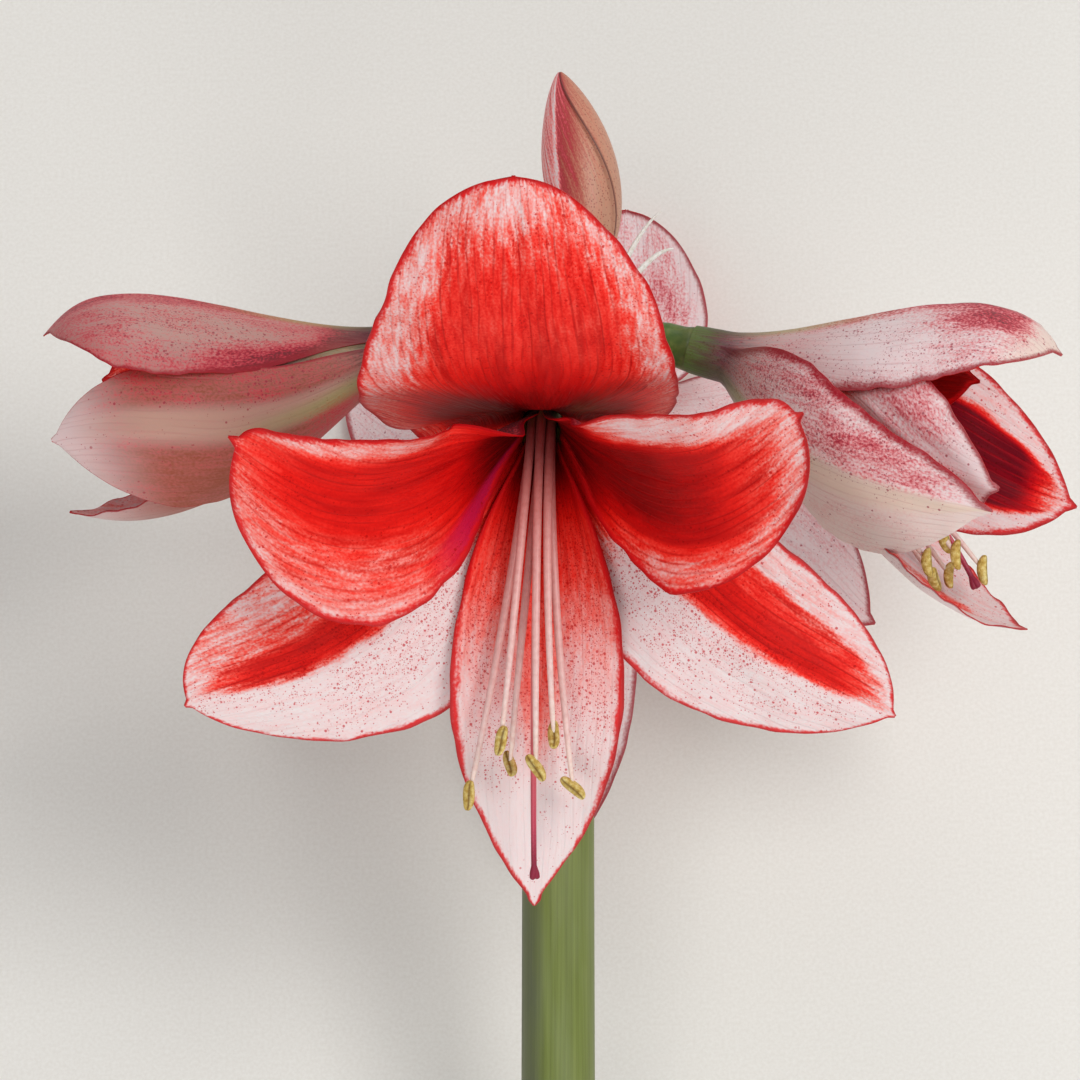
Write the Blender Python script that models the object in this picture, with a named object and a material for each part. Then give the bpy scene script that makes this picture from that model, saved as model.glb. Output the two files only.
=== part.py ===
# Amaryllis stem, cut and laid down: one thick scape with an umbel of four open flowers and one closed bud.
#
# Every piece is modelled as it grows, with the stem along Y, its head towards +Y and the front flower
# facing +Z, about the point where the flower stalks leave the scape. The whole plant is then tipped and
# raised, so that it rests on the cut end of the scape and on the tepals of the rear flower.
# Sizes are in millimetres and are turned into metres as each mesh is made.

import math

import bmesh
import bpy
import numpy as np
from mathutils import Matrix, Vector

MM = 0.001

# The scape, the leafless stalk that carries the flowers.
SCAPE_LENGTH = 400.0
SCAPE_TOP_RADIUS = 10.8
SCAPE_CUT_RADIUS = 11.6
HEAD_RADIUS = 12.0
HEAD_CENTRE = -9.0
HOLLOW_RADIUS = 6.5
HOLLOW_DEPTH = 12.0
SCAPE_SIDES = 20

# How the plant lies: the scape's slope, its roll, and where the foot of the umbel stands over the table.
SLOPE = 17.0
ROLL = 1.83
HEAD_X = -1.7
HEAD_Y = 151.0
HEAD_HEIGHT = 127.8

# Where touching pieces meet.
GAP = 0.3

# Tepals: an inner and an outer ring of three, which stand in a short tube on the ovary.
TEPAL_THICKNESS = 0.9
INNER_FOOT = 5.0
OUTER_FOOT = 6.8
INNER_FOOT_HALF = 4.4
OUTER_FOOT_HALF = 6.0
TUBE = 12.0
TIP_HALF_WIDTH = 0.8
SECTOR_SHARE = 0.92
OUTER_RELAX = 0.35
ROWS = 11
COLUMNS = 6

# Flower stalks and ovaries.
PEDICEL_RADIUS = 4.2
PEDICEL_LIFT = 30.0
OVARY_RADIUS = 6.6
OVARY_LENGTH = 16.0
OVARY_TOP_RADIUS = 7.2

# Stamens and pistil.
RING_RADIUS = 3.1
RING_WALL = 1.6
RING_HEIGHT = 5.0
FILAMENT_RISE = 36.0
STYLE_RISE = 40.0
FILAMENT_FOOT = 1.05
FILAMENT_TIP = 0.6
STYLE_FOOT = 1.0
STYLE_TIP = 0.8
ANTHER_LENGTH = 8.6
ANTHER_RADIUS = 1.4

# The closed bud, and the small parts at the foot of the umbel.
BUD_RADIUS = 16.0
BUD_SIDES = 18
BRACT_FOOT = 12.8
THREAD_FOOT = 0.8
THREAD_TIP = 0.45

for old in list(bpy.data.objects):
    bpy.data.objects.remove(old, do_unlink=True)


def material(name, red, green, blue, roughness=0.5):
    """One plain Principled material in linear colour."""
    made = bpy.data.materials.new(name)
    made.use_nodes = True
    shader = made.node_tree.nodes["Principled BSDF"]
    shader.inputs["Base Color"].default_value = (red, green, blue, 1.0)
    shader.inputs["Roughness"].default_value = roughness
    made.diffuse_color = (red, green, blue, 1.0)
    return made


def placed(obj, parent, skin):
    """Parents an object, gives it its own copy of a material and shades it smooth."""
    obj.parent = parent
    skin = skin.copy()
    skin.name = obj.name
    obj.data.materials.append(skin)
    obj.data.shade_smooth()
    return obj


def object_from(mesh_editor, name, parent, skin):
    """Turns a bmesh in millimetres into a named object in metres, with its faces outwards."""
    bmesh.ops.recalc_face_normals(mesh_editor, faces=mesh_editor.faces)
    bmesh.ops.scale(mesh_editor, vec=(MM, MM, MM), verts=mesh_editor.verts)
    mesh = bpy.data.meshes.new(name)
    mesh_editor.to_mesh(mesh)
    mesh_editor.free()
    obj = bpy.data.objects.new(name, mesh)
    bpy.context.scene.collection.objects.link(obj)
    return placed(obj, parent, skin)


def smooth_step(x):
    x = np.clip(x, 0.0, 1.0)
    return x * x * (3.0 - 2.0 * x)


def bezier(start, pull_start, pull_end, end, count):
    """Points evenly stepped in t along a cubic Bezier curve."""
    t = np.linspace(0.0, 1.0, count)[:, None]
    corners = [np.asarray(point, float) for point in (start, pull_start, pull_end, end)]
    weights = ((1 - t) ** 3, 3 * (1 - t) ** 2 * t, 3 * (1 - t) * t * t, t**3)
    return sum(weight * corner for weight, corner in zip(weights, corners))


def swept_tube(path, radii, sides):
    """A bmesh tube round a path, with flat caps square to its ends."""
    made = bmesh.new()
    path = [Vector(point) for point in path]
    count = len(path)
    forward = [(path[min(i + 1, count - 1)] - path[max(i - 1, 0)]).normalized() for i in range(count)]
    across = forward[0].orthogonal().normalized()
    rings = []
    for i in range(count):
        across = (across - across.dot(forward[i]) * forward[i]).normalized()
        other = forward[i].cross(across)
        ring = []
        for j in range(sides):
            turn = 2.0 * math.pi * j / sides
            offset = math.cos(turn) * across + math.sin(turn) * other
            ring.append(made.verts.new(path[i] + float(radii[i]) * offset))
        rings.append(ring)
    for lower, upper in zip(rings, rings[1:]):
        for j in range(sides):
            after = (j + 1) % sides
            made.faces.new((lower[j], lower[after], upper[after], upper[j]))
    made.faces.new(rings[0][::-1])
    made.faces.new(rings[-1])
    return made


def tube(name, path, radii, sides, parent, skin):
    return object_from(swept_tube(path, radii, sides), name, parent, skin)


def lathe(profile, sides):
    """A bmesh solid spun round Y from (radius, y) points, the first and last of them on the axis."""
    made = bmesh.new()
    points = [made.verts.new((radius, y, 0.0)) for radius, y in profile]
    edges = [made.edges.new(pair) for pair in zip(points, points[1:])]
    bmesh.ops.spin(
        made,
        geom=points + edges,
        cent=(0.0, 0.0, 0.0),
        axis=(0.0, 1.0, 0.0),
        angle=2.0 * math.pi,
        steps=sides,
        use_duplicate=False,
    )
    bmesh.ops.remove_doubles(made, verts=made.verts, dist=0.001)
    return made


def fuse(body, pieces):
    """Joins the pieces to the body with one Boolean union on a collection, then removes them."""
    group = bpy.data.collections.new(body.name + "_pieces")
    bpy.context.scene.collection.children.link(group)
    for piece in pieces:
        bpy.context.scene.collection.objects.unlink(piece)
        group.objects.link(piece)
    union = body.modifiers.new("union", "BOOLEAN")
    union.operation = "UNION"
    union.operand_type = "COLLECTION"
    union.collection = group
    union.solver = "EXACT"
    bpy.context.view_layer.update()
    graph = bpy.context.evaluated_depsgraph_get()
    joined = bpy.data.meshes.new_from_object(body.evaluated_get(graph))
    body.modifiers.clear()
    body.data = joined
    for piece in pieces:
        bpy.data.objects.remove(piece, do_unlink=True)
    bpy.data.collections.remove(group)


def rib_of(tepal):
    """The tepal's midrib as (distance from the flower's axis, distance along it), and its running length."""
    foot = np.array([tepal["foot"], 0.0])
    throat = np.array([tepal["foot"] + 1.0, TUBE])
    lead = math.radians(tepal["lead"])
    end = math.radians(tepal["end"])
    tip = np.array([tepal["reach"], tepal["fore"] + TUBE])
    first_pull = throat + tepal["pull_foot"] * np.array([math.sin(lead), math.cos(lead)])
    last_pull = tip - tepal["pull_tip"] * np.array([math.sin(end), math.cos(end)])
    straight = foot + np.linspace(0.0, 1.0, 20)[:-1, None] * (throat - foot)
    points = np.vstack([straight, bezier(throat, first_pull, last_pull, tip, 400)])
    steps = np.linalg.norm(np.diff(points, axis=0), axis=1)
    return points, np.concatenate([[0.0], np.cumsum(steps)])


def tepal_points(tepal, along, across):
    """Surface points of one tepal in its flower's frame, for each share of its length and of its width.

    The cross-section follows the tube near the foot and opens into its own cup beyond it. The widest place,
    the roundness of the tip, the sideways bow, the wave of the edge and the lean to one side are the tepal's own.
    """
    points, running = rib_of(tepal)
    length = running[-1]
    at = along * length

    def on_rib(distance):
        distance = np.clip(distance, 0.0, length)
        return np.stack([np.interp(distance, running, points[:, i]) for i in (0, 1)], -1)

    rib = on_rib(at)
    tangent = on_rib(at + 0.5) - on_rib(at - 0.5)
    tangent /= np.linalg.norm(tangent, axis=1)[:, None]
    inward = np.stack([-tangent[:, 1], tangent[:, 0]], -1)

    grow, close = tepal["grow"], tepal["close"]
    peak = (grow / (grow + close)) ** grow * (close / (grow + close)) ** close
    blade = along**grow * np.clip(1.0 - along, 0.0, 1.0) ** close / peak
    half = tepal["foot_half"] * (1.0 - along) ** 2 + tepal["half"] * blade
    half = np.minimum(half, SECTOR_SHARE * rib[:, 0])
    half = np.maximum(half, TIP_HALF_WIDTH)

    tube_share = TUBE / length
    past_tube = np.clip((along - tube_share) / (1.0 - tube_share), 0.0, 1.0)
    opened = smooth_step((along - tube_share) / 0.30)
    near_tip = smooth_step((along - 0.55) / 0.4)
    round_axis = half * np.clip(tangent[:, 1], 0.0, 1.0) / np.maximum(rib[:, 0], 1.0)
    own_cup = np.radians(tepal["cup"] * (1.0 - near_tip) + tepal["cup_tip"] * near_tip)
    bend = round_axis * (1.0 - tepal["relax"] * opened) + own_cup * opened
    bend = np.where(np.abs(bend) < 1e-4, 1e-4, bend)[:, None]

    lean = tepal["lean"] * opened[:, None]
    share = np.where(across[None, :] > 0.0, 1.0 + lean, 1.0 - lean)
    sideways = np.sin(across[None, :] * bend) / bend * half[:, None] * share
    lifted = (1.0 - np.cos(across[None, :] * bend)) / bend * half[:, None] * share
    edge = smooth_step((along - tube_share - 0.1) / 0.35)[:, None] * np.abs(across[None, :]) ** 3
    phase = np.where(across > 0.0, tepal["phase"], tepal["phase"] + 0.4)[None, :]
    lifted = lifted + tepal["wave"] * edge * np.sin(2.0 * math.pi * (3.0 * along[:, None] + phase))

    swing = tepal["swing_tip"] * smooth_step(past_tube) ** 1.5
    swing = swing + tepal["swing"] * np.sin(math.pi * past_tube) ** 1.5
    azimuth = np.radians(tepal["azimuth"] + swing)[:, None]
    radius = rib[:, 0][:, None] + lifted * inward[:, 0][:, None]
    height = rib[:, 1][:, None] + lifted * inward[:, 1][:, None]
    x = radius * np.cos(azimuth) - sideways * np.sin(azimuth)
    y = radius * np.sin(azimuth) + sideways * np.cos(azimuth)
    return np.stack([x, y, height], -1)


INNER = {"foot": INNER_FOOT, "foot_half": INNER_FOOT_HALF, "relax": 0.0}
OUTER = {"foot": OUTER_FOOT, "foot_half": OUTER_FOOT_HALF, "relax": OUTER_RELAX}
TEPAL_USUAL = {
    "lead": 22.0,
    "pull_foot": 38.0,
    "pull_tip": 45.0,
    "end": 85.0,
    "grow": 1.1,
    "close": 0.6,
    "cup": 10.0,
    "cup_tip": 0.0,
    "lean": 0.0,
    "wave": 0.0,
    "phase": 0.0,
    "swing": 0.0,
    "swing_tip": 0.0,
}


def add_tepal(name, flower, skin, **own):
    """One tepal: a grid laid on its surface, split into triangles and thickened alike on both faces."""
    tepal = {**TEPAL_USUAL, **own}
    made = bmesh.new()
    bmesh.ops.create_grid(made, x_segments=COLUMNS, y_segments=ROWS, size=1.0)
    bmesh.ops.triangulate(made, faces=made.faces, quad_method="FIXED")
    along = 1.0 - (1.0 - np.linspace(0.0, 1.0, ROWS + 1)) ** 1.35
    across = np.linspace(-1.0, 1.0, COLUMNS + 1)
    surface = tepal_points(tepal, along, across)
    for vertex in made.verts:
        column = round((vertex.co.x + 1.0) * COLUMNS / 2.0)
        row = round((vertex.co.y + 1.0) * ROWS / 2.0)
        vertex.co = Vector(surface[row, column]) * MM
    mesh = bpy.data.meshes.new(name)
    made.to_mesh(mesh)
    made.free()
    obj = bpy.data.objects.new(name, mesh)
    bpy.context.scene.collection.objects.link(obj)
    thicken = obj.modifiers.new("thickness", "SOLIDIFY")
    thicken.thickness = TEPAL_THICKNESS * MM
    thicken.offset = 0.0
    return placed(obj, flower, skin)


def empty(name, parent, matrix):
    made = bpy.data.objects.new(name, None)
    bpy.context.scene.collection.objects.link(made)
    made.parent = parent
    made.matrix_local = matrix
    return made


def flower_frame(yaw, pitch):
    """Axes of a flower that faces +Z at yaw 0 and pitch 0, turned to the right by yaw and up by pitch."""
    y, p = math.radians(yaw), math.radians(pitch)
    face = Vector((math.sin(y) * math.cos(p), math.sin(p), math.cos(y) * math.cos(p)))
    right = Vector((0.0, 1.0, 0.0)).cross(face).normalized()
    up = face.cross(right)
    return Matrix((right, up, face)).transposed()


def add_flower(name, base, yaw, pitch, stalk_side):
    """The flower's own frame on its ovary, and the stalk with the ovary that carries it."""
    axes = flower_frame(yaw, pitch)
    flower = empty(name, plant, Matrix.Translation(Vector(base) * MM) @ axes.to_4x4())
    face = axes.col[2]
    lift = math.radians(PEDICEL_LIFT)
    out = Vector((math.cos(lift) * stalk_side[0], math.sin(lift), math.cos(lift) * stalk_side[1]))
    start = Vector((0.0, HEAD_CENTRE, 0.0)) + (HEAD_RADIUS + GAP) * out
    top = Vector(base) - GAP * face
    ovary_foot = top - OVARY_LENGTH * face
    stalk = bezier(start, start + 8.0 * out, ovary_foot - 8.0 * face, ovary_foot, 8)
    ovary = [ovary_foot + share * (top - ovary_foot) for share in (0.2, 0.45, 0.75, 1.0)]
    path = [Vector(point) for point in stalk] + ovary
    radii = [PEDICEL_RADIUS] * len(stalk) + [5.6, OVARY_RADIUS, OVARY_RADIUS, OVARY_TOP_RADIUS]
    radii[len(stalk) - 1] = 4.6
    tube(name + "_pedicel", path, radii, 14, plant, green)
    return flower


def add_stamens(name, flower, anthers, last_pull=34.0):
    """Six filaments on a low ring, each with its anther, fused into one piece."""
    outer = RING_RADIUS + RING_WALL / 2.0
    inner = RING_RADIUS - RING_WALL / 2.0
    made = bmesh.new()
    sides = 12
    corners = []
    for radius, height in ((outer, GAP), (outer, RING_HEIGHT), (inner, RING_HEIGHT), (inner, GAP)):
        ring = []
        for j in range(sides):
            turn = 2.0 * math.pi * j / sides
            ring.append(made.verts.new((radius * math.cos(turn), radius * math.sin(turn), height)))
        corners.append(ring)
    for k in range(4):
        lower, upper = corners[k], corners[(k + 1) % 4]
        for j in range(sides):
            after = (j + 1) % sides
            made.faces.new((lower[j], lower[after], upper[after], upper[j]))
    body = object_from(made, name, flower, straw)
    pieces = []
    for azimuth, tip, droop, tilt in anthers:
        turn = math.radians(azimuth)
        foot = Vector((RING_RADIUS * math.cos(turn), RING_RADIUS * math.sin(turn), 1.5))
        end = Vector(tip)
        heading = Vector((0.12 * end.x / 10.0, -math.cos(math.radians(droop)), math.sin(math.radians(droop))))
        heading.normalize()
        rise = FILAMENT_RISE + 2.0 * foot.y
        path = bezier(foot, foot + Vector((0.0, 0.0, rise)), end - last_pull * heading, end, 9)
        radii = np.linspace(FILAMENT_FOOT, FILAMENT_TIP, len(path))
        pieces.append(tube(name + "_filament", path, radii, 5, flower, straw))
        anther = bmesh.new()
        bmesh.ops.create_uvsphere(anther, u_segments=6, v_segments=5, radius=1.0)
        bmesh.ops.scale(anther, vec=(ANTHER_RADIUS, ANTHER_RADIUS, ANTHER_LENGTH / 2.0), verts=anther.verts)
        turned = Matrix.Rotation(math.radians(tilt), 4, "Z") @ Matrix.Rotation(math.radians(75.0), 4, "X")
        bmesh.ops.transform(anther, matrix=Matrix.Translation(end) @ turned, verts=anther.verts)
        pieces.append(object_from(anther, name + "_anther", flower, straw))
    fuse(body, pieces)
    return body


def add_pistil(name, flower, tip, droop, last_pull=40.0):
    """The style that stands on the ovary and its three-lobed stigma, fused into one piece."""
    foot = Vector((0.0, 0.0, GAP))
    end = Vector(tip)
    heading = Vector((0.0, -math.cos(math.radians(droop)), math.sin(math.radians(droop))))
    path = bezier(foot, foot + Vector((0.0, 0.0, STYLE_RISE)), end - last_pull * heading, end, 12)
    radii = np.linspace(STYLE_FOOT, STYLE_TIP, len(path))
    body = tube(name, path, radii, 6, flower, crimson)
    pieces = []
    across = heading.cross(Vector((1.0, 0.0, 0.0))).normalized()
    side = heading.cross(across)
    for j in range(3):
        turn = 2.0 * math.pi * j / 3.0 + 0.5
        away = math.cos(turn) * across + math.sin(turn) * side
        lobe = [end - 1.0 * heading, end + 1.5 * heading + 0.9 * away, end + 3.2 * heading + 2.4 * away]
        pieces.append(tube(name + "_lobe", lobe, [0.8, 0.9, 0.6], 6, flower, crimson))
    fuse(body, pieces)
    return body


green = material("green", 0.10, 0.19, 0.03)
scape_green = material("scape_green", 0.15, 0.20, 0.05)
scarlet = material("scarlet", 0.75, 0.03, 0.02)
blush = material("blush", 0.75, 0.32, 0.32)
straw = material("straw", 0.72, 0.45, 0.30)
crimson = material("crimson", 0.45, 0.03, 0.07)
papery = material("papery", 0.45, 0.30, 0.17)
white = material("white", 0.80, 0.74, 0.66)

turned = Matrix.Rotation(math.radians(ROLL), 4, "Y") @ Matrix.Rotation(math.radians(SLOPE), 4, "X")
plant = empty("plant", None, Matrix.Translation(Vector((HEAD_X, HEAD_Y, HEAD_HEIGHT)) * MM) @ turned)

# The scape, with its domed head and the shallow hollow that shows at the cut end.
dome_foot = math.sqrt(HEAD_RADIUS**2 - SCAPE_TOP_RADIUS**2)
profile = [
    (0.0, -SCAPE_LENGTH + HOLLOW_DEPTH),
    (HOLLOW_RADIUS, -SCAPE_LENGTH + HOLLOW_DEPTH),
    (HOLLOW_RADIUS, -SCAPE_LENGTH),
    (SCAPE_CUT_RADIUS - 0.6, -SCAPE_LENGTH),
    (SCAPE_CUT_RADIUS, -SCAPE_LENGTH + 0.6),
    (SCAPE_TOP_RADIUS, -150.0),
    (SCAPE_TOP_RADIUS, HEAD_CENTRE - dome_foot - 8.0),
]
for degrees in range(-20, 90, 18):
    angle = math.radians(degrees)
    profile.append((HEAD_RADIUS * math.cos(angle), HEAD_CENTRE + HEAD_RADIUS * math.sin(angle)))
profile.append((0.0, HEAD_CENTRE + HEAD_RADIUS))
object_from(lathe(profile, SCAPE_SIDES), "scape", plant, scape_green)

# The front flower, wide open and nodding a little.
front = add_flower("front_flower", base=(-4.5, -23.0, 38.0), yaw=-3.0, pitch=-28.0, stalk_side=(0.0, 1.0))
add_tepal("front_sepal_top", front, scarlet, **OUTER, azimuth=90, reach=108, fore=62, half=43,
          close=0.5, grow=0.45, end=105, cup=-14, cup_tip=-14, wave=1.0, swing_tip=1.0)
add_tepal("front_petal_left", front, scarlet, **INNER, azimuth=150, reach=90, fore=68, half=34,
          close=0.42, grow=0.55, end=85, cup=14, wave=1.5, lean=0.2, swing=16, swing_tip=10)
add_tepal("front_petal_right", front, scarlet, **INNER, azimuth=30, reach=88, fore=68, half=32,
          close=0.42, grow=0.55, end=80, cup=16, cup_tip=4, wave=1.5, lean=-0.05, swing=-14, swing_tip=-6)
add_tepal("front_sepal_left", front, scarlet, **OUTER, azimuth=210, reach=119, fore=54, half=33,
          close=0.62, grow=0.8, cup=4, cup_tip=-6, swing=10, swing_tip=4)
add_tepal("front_sepal_right", front, scarlet, **OUTER, azimuth=330, reach=119, fore=54, half=29,
          close=0.7, grow=1.0, cup=4, cup_tip=-6, swing=-4, swing_tip=-2)
add_tepal("front_petal_bottom", front, scarlet, **INNER, azimuth=270, reach=122, fore=60, half=25,
          close=0.95, grow=1.2, end=80, cup=16, cup_tip=4, wave=1.5, swing_tip=-1)

# The left flower, half open, and turned a little about its own axis.
left = add_flower("left_flower", base=(-42.0, -1.0, 2.0), yaw=-92.0, pitch=-14.0, stalk_side=(-1.0, 0.0))
half_open = {"pull_foot": 36, "pull_tip": 36, "lead": 30}
add_tepal("left_sepal_top", left, blush, **OUTER, azimuth=80, reach=28, fore=94, half=31,
          end=-18, cup=28, cup_tip=16, lean=-0.4, **half_open)
add_tepal("left_petal_near", left, blush, **INNER, azimuth=20, reach=20, fore=66, half=18,
          end=0, cup=10, cup_tip=10, pull_foot=24, pull_tip=24, lead=22)
add_tepal("left_petal_far", left, blush, **INNER, azimuth=140, reach=22, fore=84, half=20,
          end=0, cup=10, cup_tip=10, pull_foot=30, pull_tip=28, lead=24)
add_tepal("left_sepal_near", left, blush, **OUTER, azimuth=320, reach=28, fore=102, half=28,
          close=0.8, end=-18, cup=10, cup_tip=10, swing_tip=18, lean=-0.05, **half_open)
add_tepal("left_sepal_far", left, blush, **OUTER, azimuth=200, reach=28, fore=96, half=24,
          close=0.7, end=-18, cup=10, cup_tip=10, swing=-6, swing_tip=-10, **half_open)
add_tepal("left_petal_bottom", left, blush, **INNER, azimuth=260, reach=25, fore=100, half=18,
          close=0.7, grow=1.3, end=-26, cup=10, cup_tip=10, **half_open)

# The right flower, open, seen from the side, and turned a little about its own axis.
right = add_flower("right_flower", base=(40.0, -3.0, 8.0), yaw=75.0, pitch=-14.0, stalk_side=(1.0, 0.0))
add_tepal("right_sepal_top", right, blush, **OUTER, azimuth=100, reach=27, fore=97, half=28,
          end=-40, cup=30, cup_tip=10, lean=0.35, pull_foot=36, pull_tip=34, lead=14)
add_tepal("right_petal_near", right, blush, **INNER, azimuth=160, reach=30, fore=84, half=23,
          end=5, cup=10, cup_tip=6, lead=16, swing=6, swing_tip=20)
add_tepal("right_petal_far", right, blush, **INNER, azimuth=40, reach=23, fore=80, half=20,
          end=0, cup=10, cup_tip=6, lead=12, swing=-6)
add_tepal("right_sepal_near", right, blush, **OUTER, azimuth=220, reach=43, fore=94, half=29,
          close=0.9, lead=46, pull_foot=42, end=0, cup=2, cup_tip=4, swing=-2, swing_tip=-6, lean=0.1)
add_tepal("right_sepal_far", right, blush, **OUTER, azimuth=340, reach=44, fore=105, half=27,
          close=0.7, lead=46, pull_foot=42, end=0, cup=2, cup_tip=4, swing=9, swing_tip=-6)
add_tepal("right_petal_bottom", right, blush, **INNER, azimuth=280, reach=58, fore=102, half=19,
          close=0.7, grow=1.8, lead=28, pull_foot=36, end=-5, pull_tip=36, cup=10, cup_tip=6)

# The rear flower, which faces the table and carries the head.
rear = add_flower("rear_flower", base=(4.5, -15.0, -38.0), yaw=175.0, pitch=-26.0, stalk_side=(0.0, -1.0))
add_tepal("rear_sepal_top", rear, scarlet, **OUTER, azimuth=90, reach=98, fore=46, half=36,
          close=0.5, grow=0.7, end=105, cup=-8, cup_tip=-14, swing=6, swing_tip=6)
add_tepal("rear_petal_left", rear, scarlet, **INNER, azimuth=150, reach=94, fore=71, half=28,
          close=0.5, grow=0.8, cup=14, swing=6)
add_tepal("rear_petal_right", rear, scarlet, **INNER, azimuth=30, reach=90, fore=64, half=28,
          close=0.5, grow=0.8, cup=14, swing=-6)
add_tepal("rear_sepal_left", rear, scarlet, **OUTER, azimuth=210, reach=108, fore=54, half=28,
          close=0.7, grow=1.0, cup=4, cup_tip=-6, swing=-11)
add_tepal("rear_sepal_right", rear, scarlet, **OUTER, azimuth=330, reach=108, fore=52, half=28,
          close=0.7, grow=1.0, cup=4, cup_tip=-6, swing=4)
add_tepal("rear_petal_bottom", rear, scarlet, **INNER, azimuth=270, reach=116, fore=60, half=21,
          close=0.9, grow=1.3, end=80, cup=16, cup_tip=4, swing_tip=-4)

# Stamens and pistils: (azimuth of the foot, anther, rise of the last stretch, turn of the anther).
OPEN_STAMENS = [
    (150, (-10.0, -65.0, 78.0), 20, 20),
    (270, (-8.0, -76.0, 73.0), 16, 60),
    (210, (-20.0, -85.0, 75.0), 18, 15),
    (90, (0.0, -71.0, 83.0), 24, -25),
    (30, (5.0, -64.0, 77.0), 20, 10),
    (330, (10.0, -83.0, 74.0), 18, -30),
]
add_stamens("front_stamens", front, OPEN_STAMENS)
add_pistil("front_pistil", front, (-1.3, -104.0, 84.0), 14)
add_stamens("rear_stamens", rear, OPEN_STAMENS)
add_pistil("rear_pistil", rear, (-1.0, -98.0, 84.0), 14)
add_stamens("right_stamens", right, [
    (210, (-10.0, -44.0, 86.3), 50, 10),
    (270, (-5.0, -48.5, 88.6), 50, 40),
    (90, (-4.0, -40.0, 93.0), 50, -10),
    (330, (7.0, -43.0, 99.9), 50, 0),
    (150, (-3.0, -36.7, 88.6), 50, 30),
    (30, (10.0, -47.0, 90.0), 50, -40),
], last_pull=30.0)
add_pistil("right_pistil", right, (3.5, -46.0, 98.0), 40, last_pull=32.0)
add_stamens("left_stamens", left, [
    (150, (-6.0, -9.0, 76.0), 75, 20),
    (270, (-1.0, -18.0, 74.0), 75, 60),
    (210, (-6.0, -15.0, 79.0), 75, 15),
    (90, (0.0, -5.0, 80.0), 75, -25),
    (30, (6.0, -9.0, 77.0), 75, 10),
    (330, (6.0, -15.0, 73.0), 75, -30),
], last_pull=24.0)
add_pistil("left_pistil", left, (0.0, -12.0, 90.0), 75, last_pull=24.0)

# The bud: closed, three sepals lapping over each other round it.
bud_foot = Vector((9.0, 21.0, -9.0))
bud_tip = Vector((1.0, 80.5, -11.0))
bud_way = (bud_tip - bud_foot).normalized()
bud_start = Vector((0.0, HEAD_CENTRE + HEAD_RADIUS + GAP, 0.0))
stalk = bezier(bud_start, bud_start + Vector((0.0, 8.0, 0.0)), bud_foot - (GAP + 8.0) * bud_way,
               bud_foot - (GAP + 2.0) * bud_way, 8)
stalk = [Vector(point) for point in stalk] + [bud_foot - GAP * bud_way]
tube("bud_pedicel", stalk, [3.4, 3.4, 3.4, 3.5, 3.7, 4.0, 4.3, 4.5, 4.6], 12, plant, green)
across = bud_way.cross(Vector((0.0, 0.0, 1.0))).normalized()
toward = across.cross(bud_way)
made = bmesh.new()
rings = []
for share in (0.0, 0.05, 0.14, 0.26, 0.4, 0.54, 0.68, 0.8, 0.89, 0.96, 1.0):
    swell = 4.4 * (1.0 - share) ** 3 + BUD_RADIUS * 1.9 * share**0.75 * (1.0 - share) ** 0.8 + 0.5
    bow = 3.0 * math.sin(math.pi * share)
    ring = []
    for j in range(BUD_SIDES):
        turn = 2.0 * math.pi * j / BUD_SIDES
        lap = (j % (BUD_SIDES // 3)) / (BUD_SIDES // 3 - 1)
        radius = swell * (0.93 + 0.09 * lap * min(1.0, 4.0 * share))
        centre = bud_foot + share * (bud_tip - bud_foot) + bow * across
        angle = turn + 0.35 * share + 0.5
        ring.append(made.verts.new(centre + radius * (math.cos(angle) * across + math.sin(angle) * toward)))
    rings.append(ring)
for lower, upper in zip(rings, rings[1:]):
    for j in range(BUD_SIDES):
        after = (j + 1) % BUD_SIDES
        made.faces.new((lower[j], lower[after], upper[after], upper[j]))
made.faces.new(rings[0][::-1])
made.faces.new(rings[-1])
object_from(made, "bud", plant, blush)

# The two papery bracts that hang back from the foot of the umbel, and the two threads among the stalks.
for name, turn in (("spathe_bract_front", -40.0), ("spathe_bract_rear", 140.0)):
    hang = Matrix.Rotation(math.radians(turn), 4, "Y") @ Matrix.Rotation(math.radians(90.0), 4, "X")
    bract_frame = empty(name + "_frame", plant, Matrix.Translation((0.0, (HEAD_CENTRE + 2.0) * MM, 0.0)) @ hang)
    add_tepal(name, bract_frame, papery, foot=BRACT_FOOT, foot_half=5.5, relax=0.0, azimuth=90, reach=24,
              fore=56, half=9, lead=8, pull_foot=18, pull_tip=20, end=6, close=0.8, cup=20, cup_tip=30)
for name, away, middle, tip in (
    ("bracteole_upper", (0.62, 0.66, -0.42), (16.0, 25.0, -15.0), (30.0, 38.0, -17.0)),
    ("bracteole_lower", (0.62, 0.50, -0.60), (20.0, 23.0, -20.0), (34.5, 27.5, -24.0)),
):
    away = Vector(away).normalized()
    start = Vector((0.0, HEAD_CENTRE, 0.0)) + (HEAD_RADIUS + GAP) * away
    path = bezier(start, start + 8.0 * away, middle, tip, 9)
    tube(name, path, np.linspace(THREAD_FOOT, THREAD_TIP, 9), 6, plant, white)
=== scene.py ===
import functools
import math
import random

import bpy
import numpy as np
from mathutils import Matrix, Vector


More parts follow.
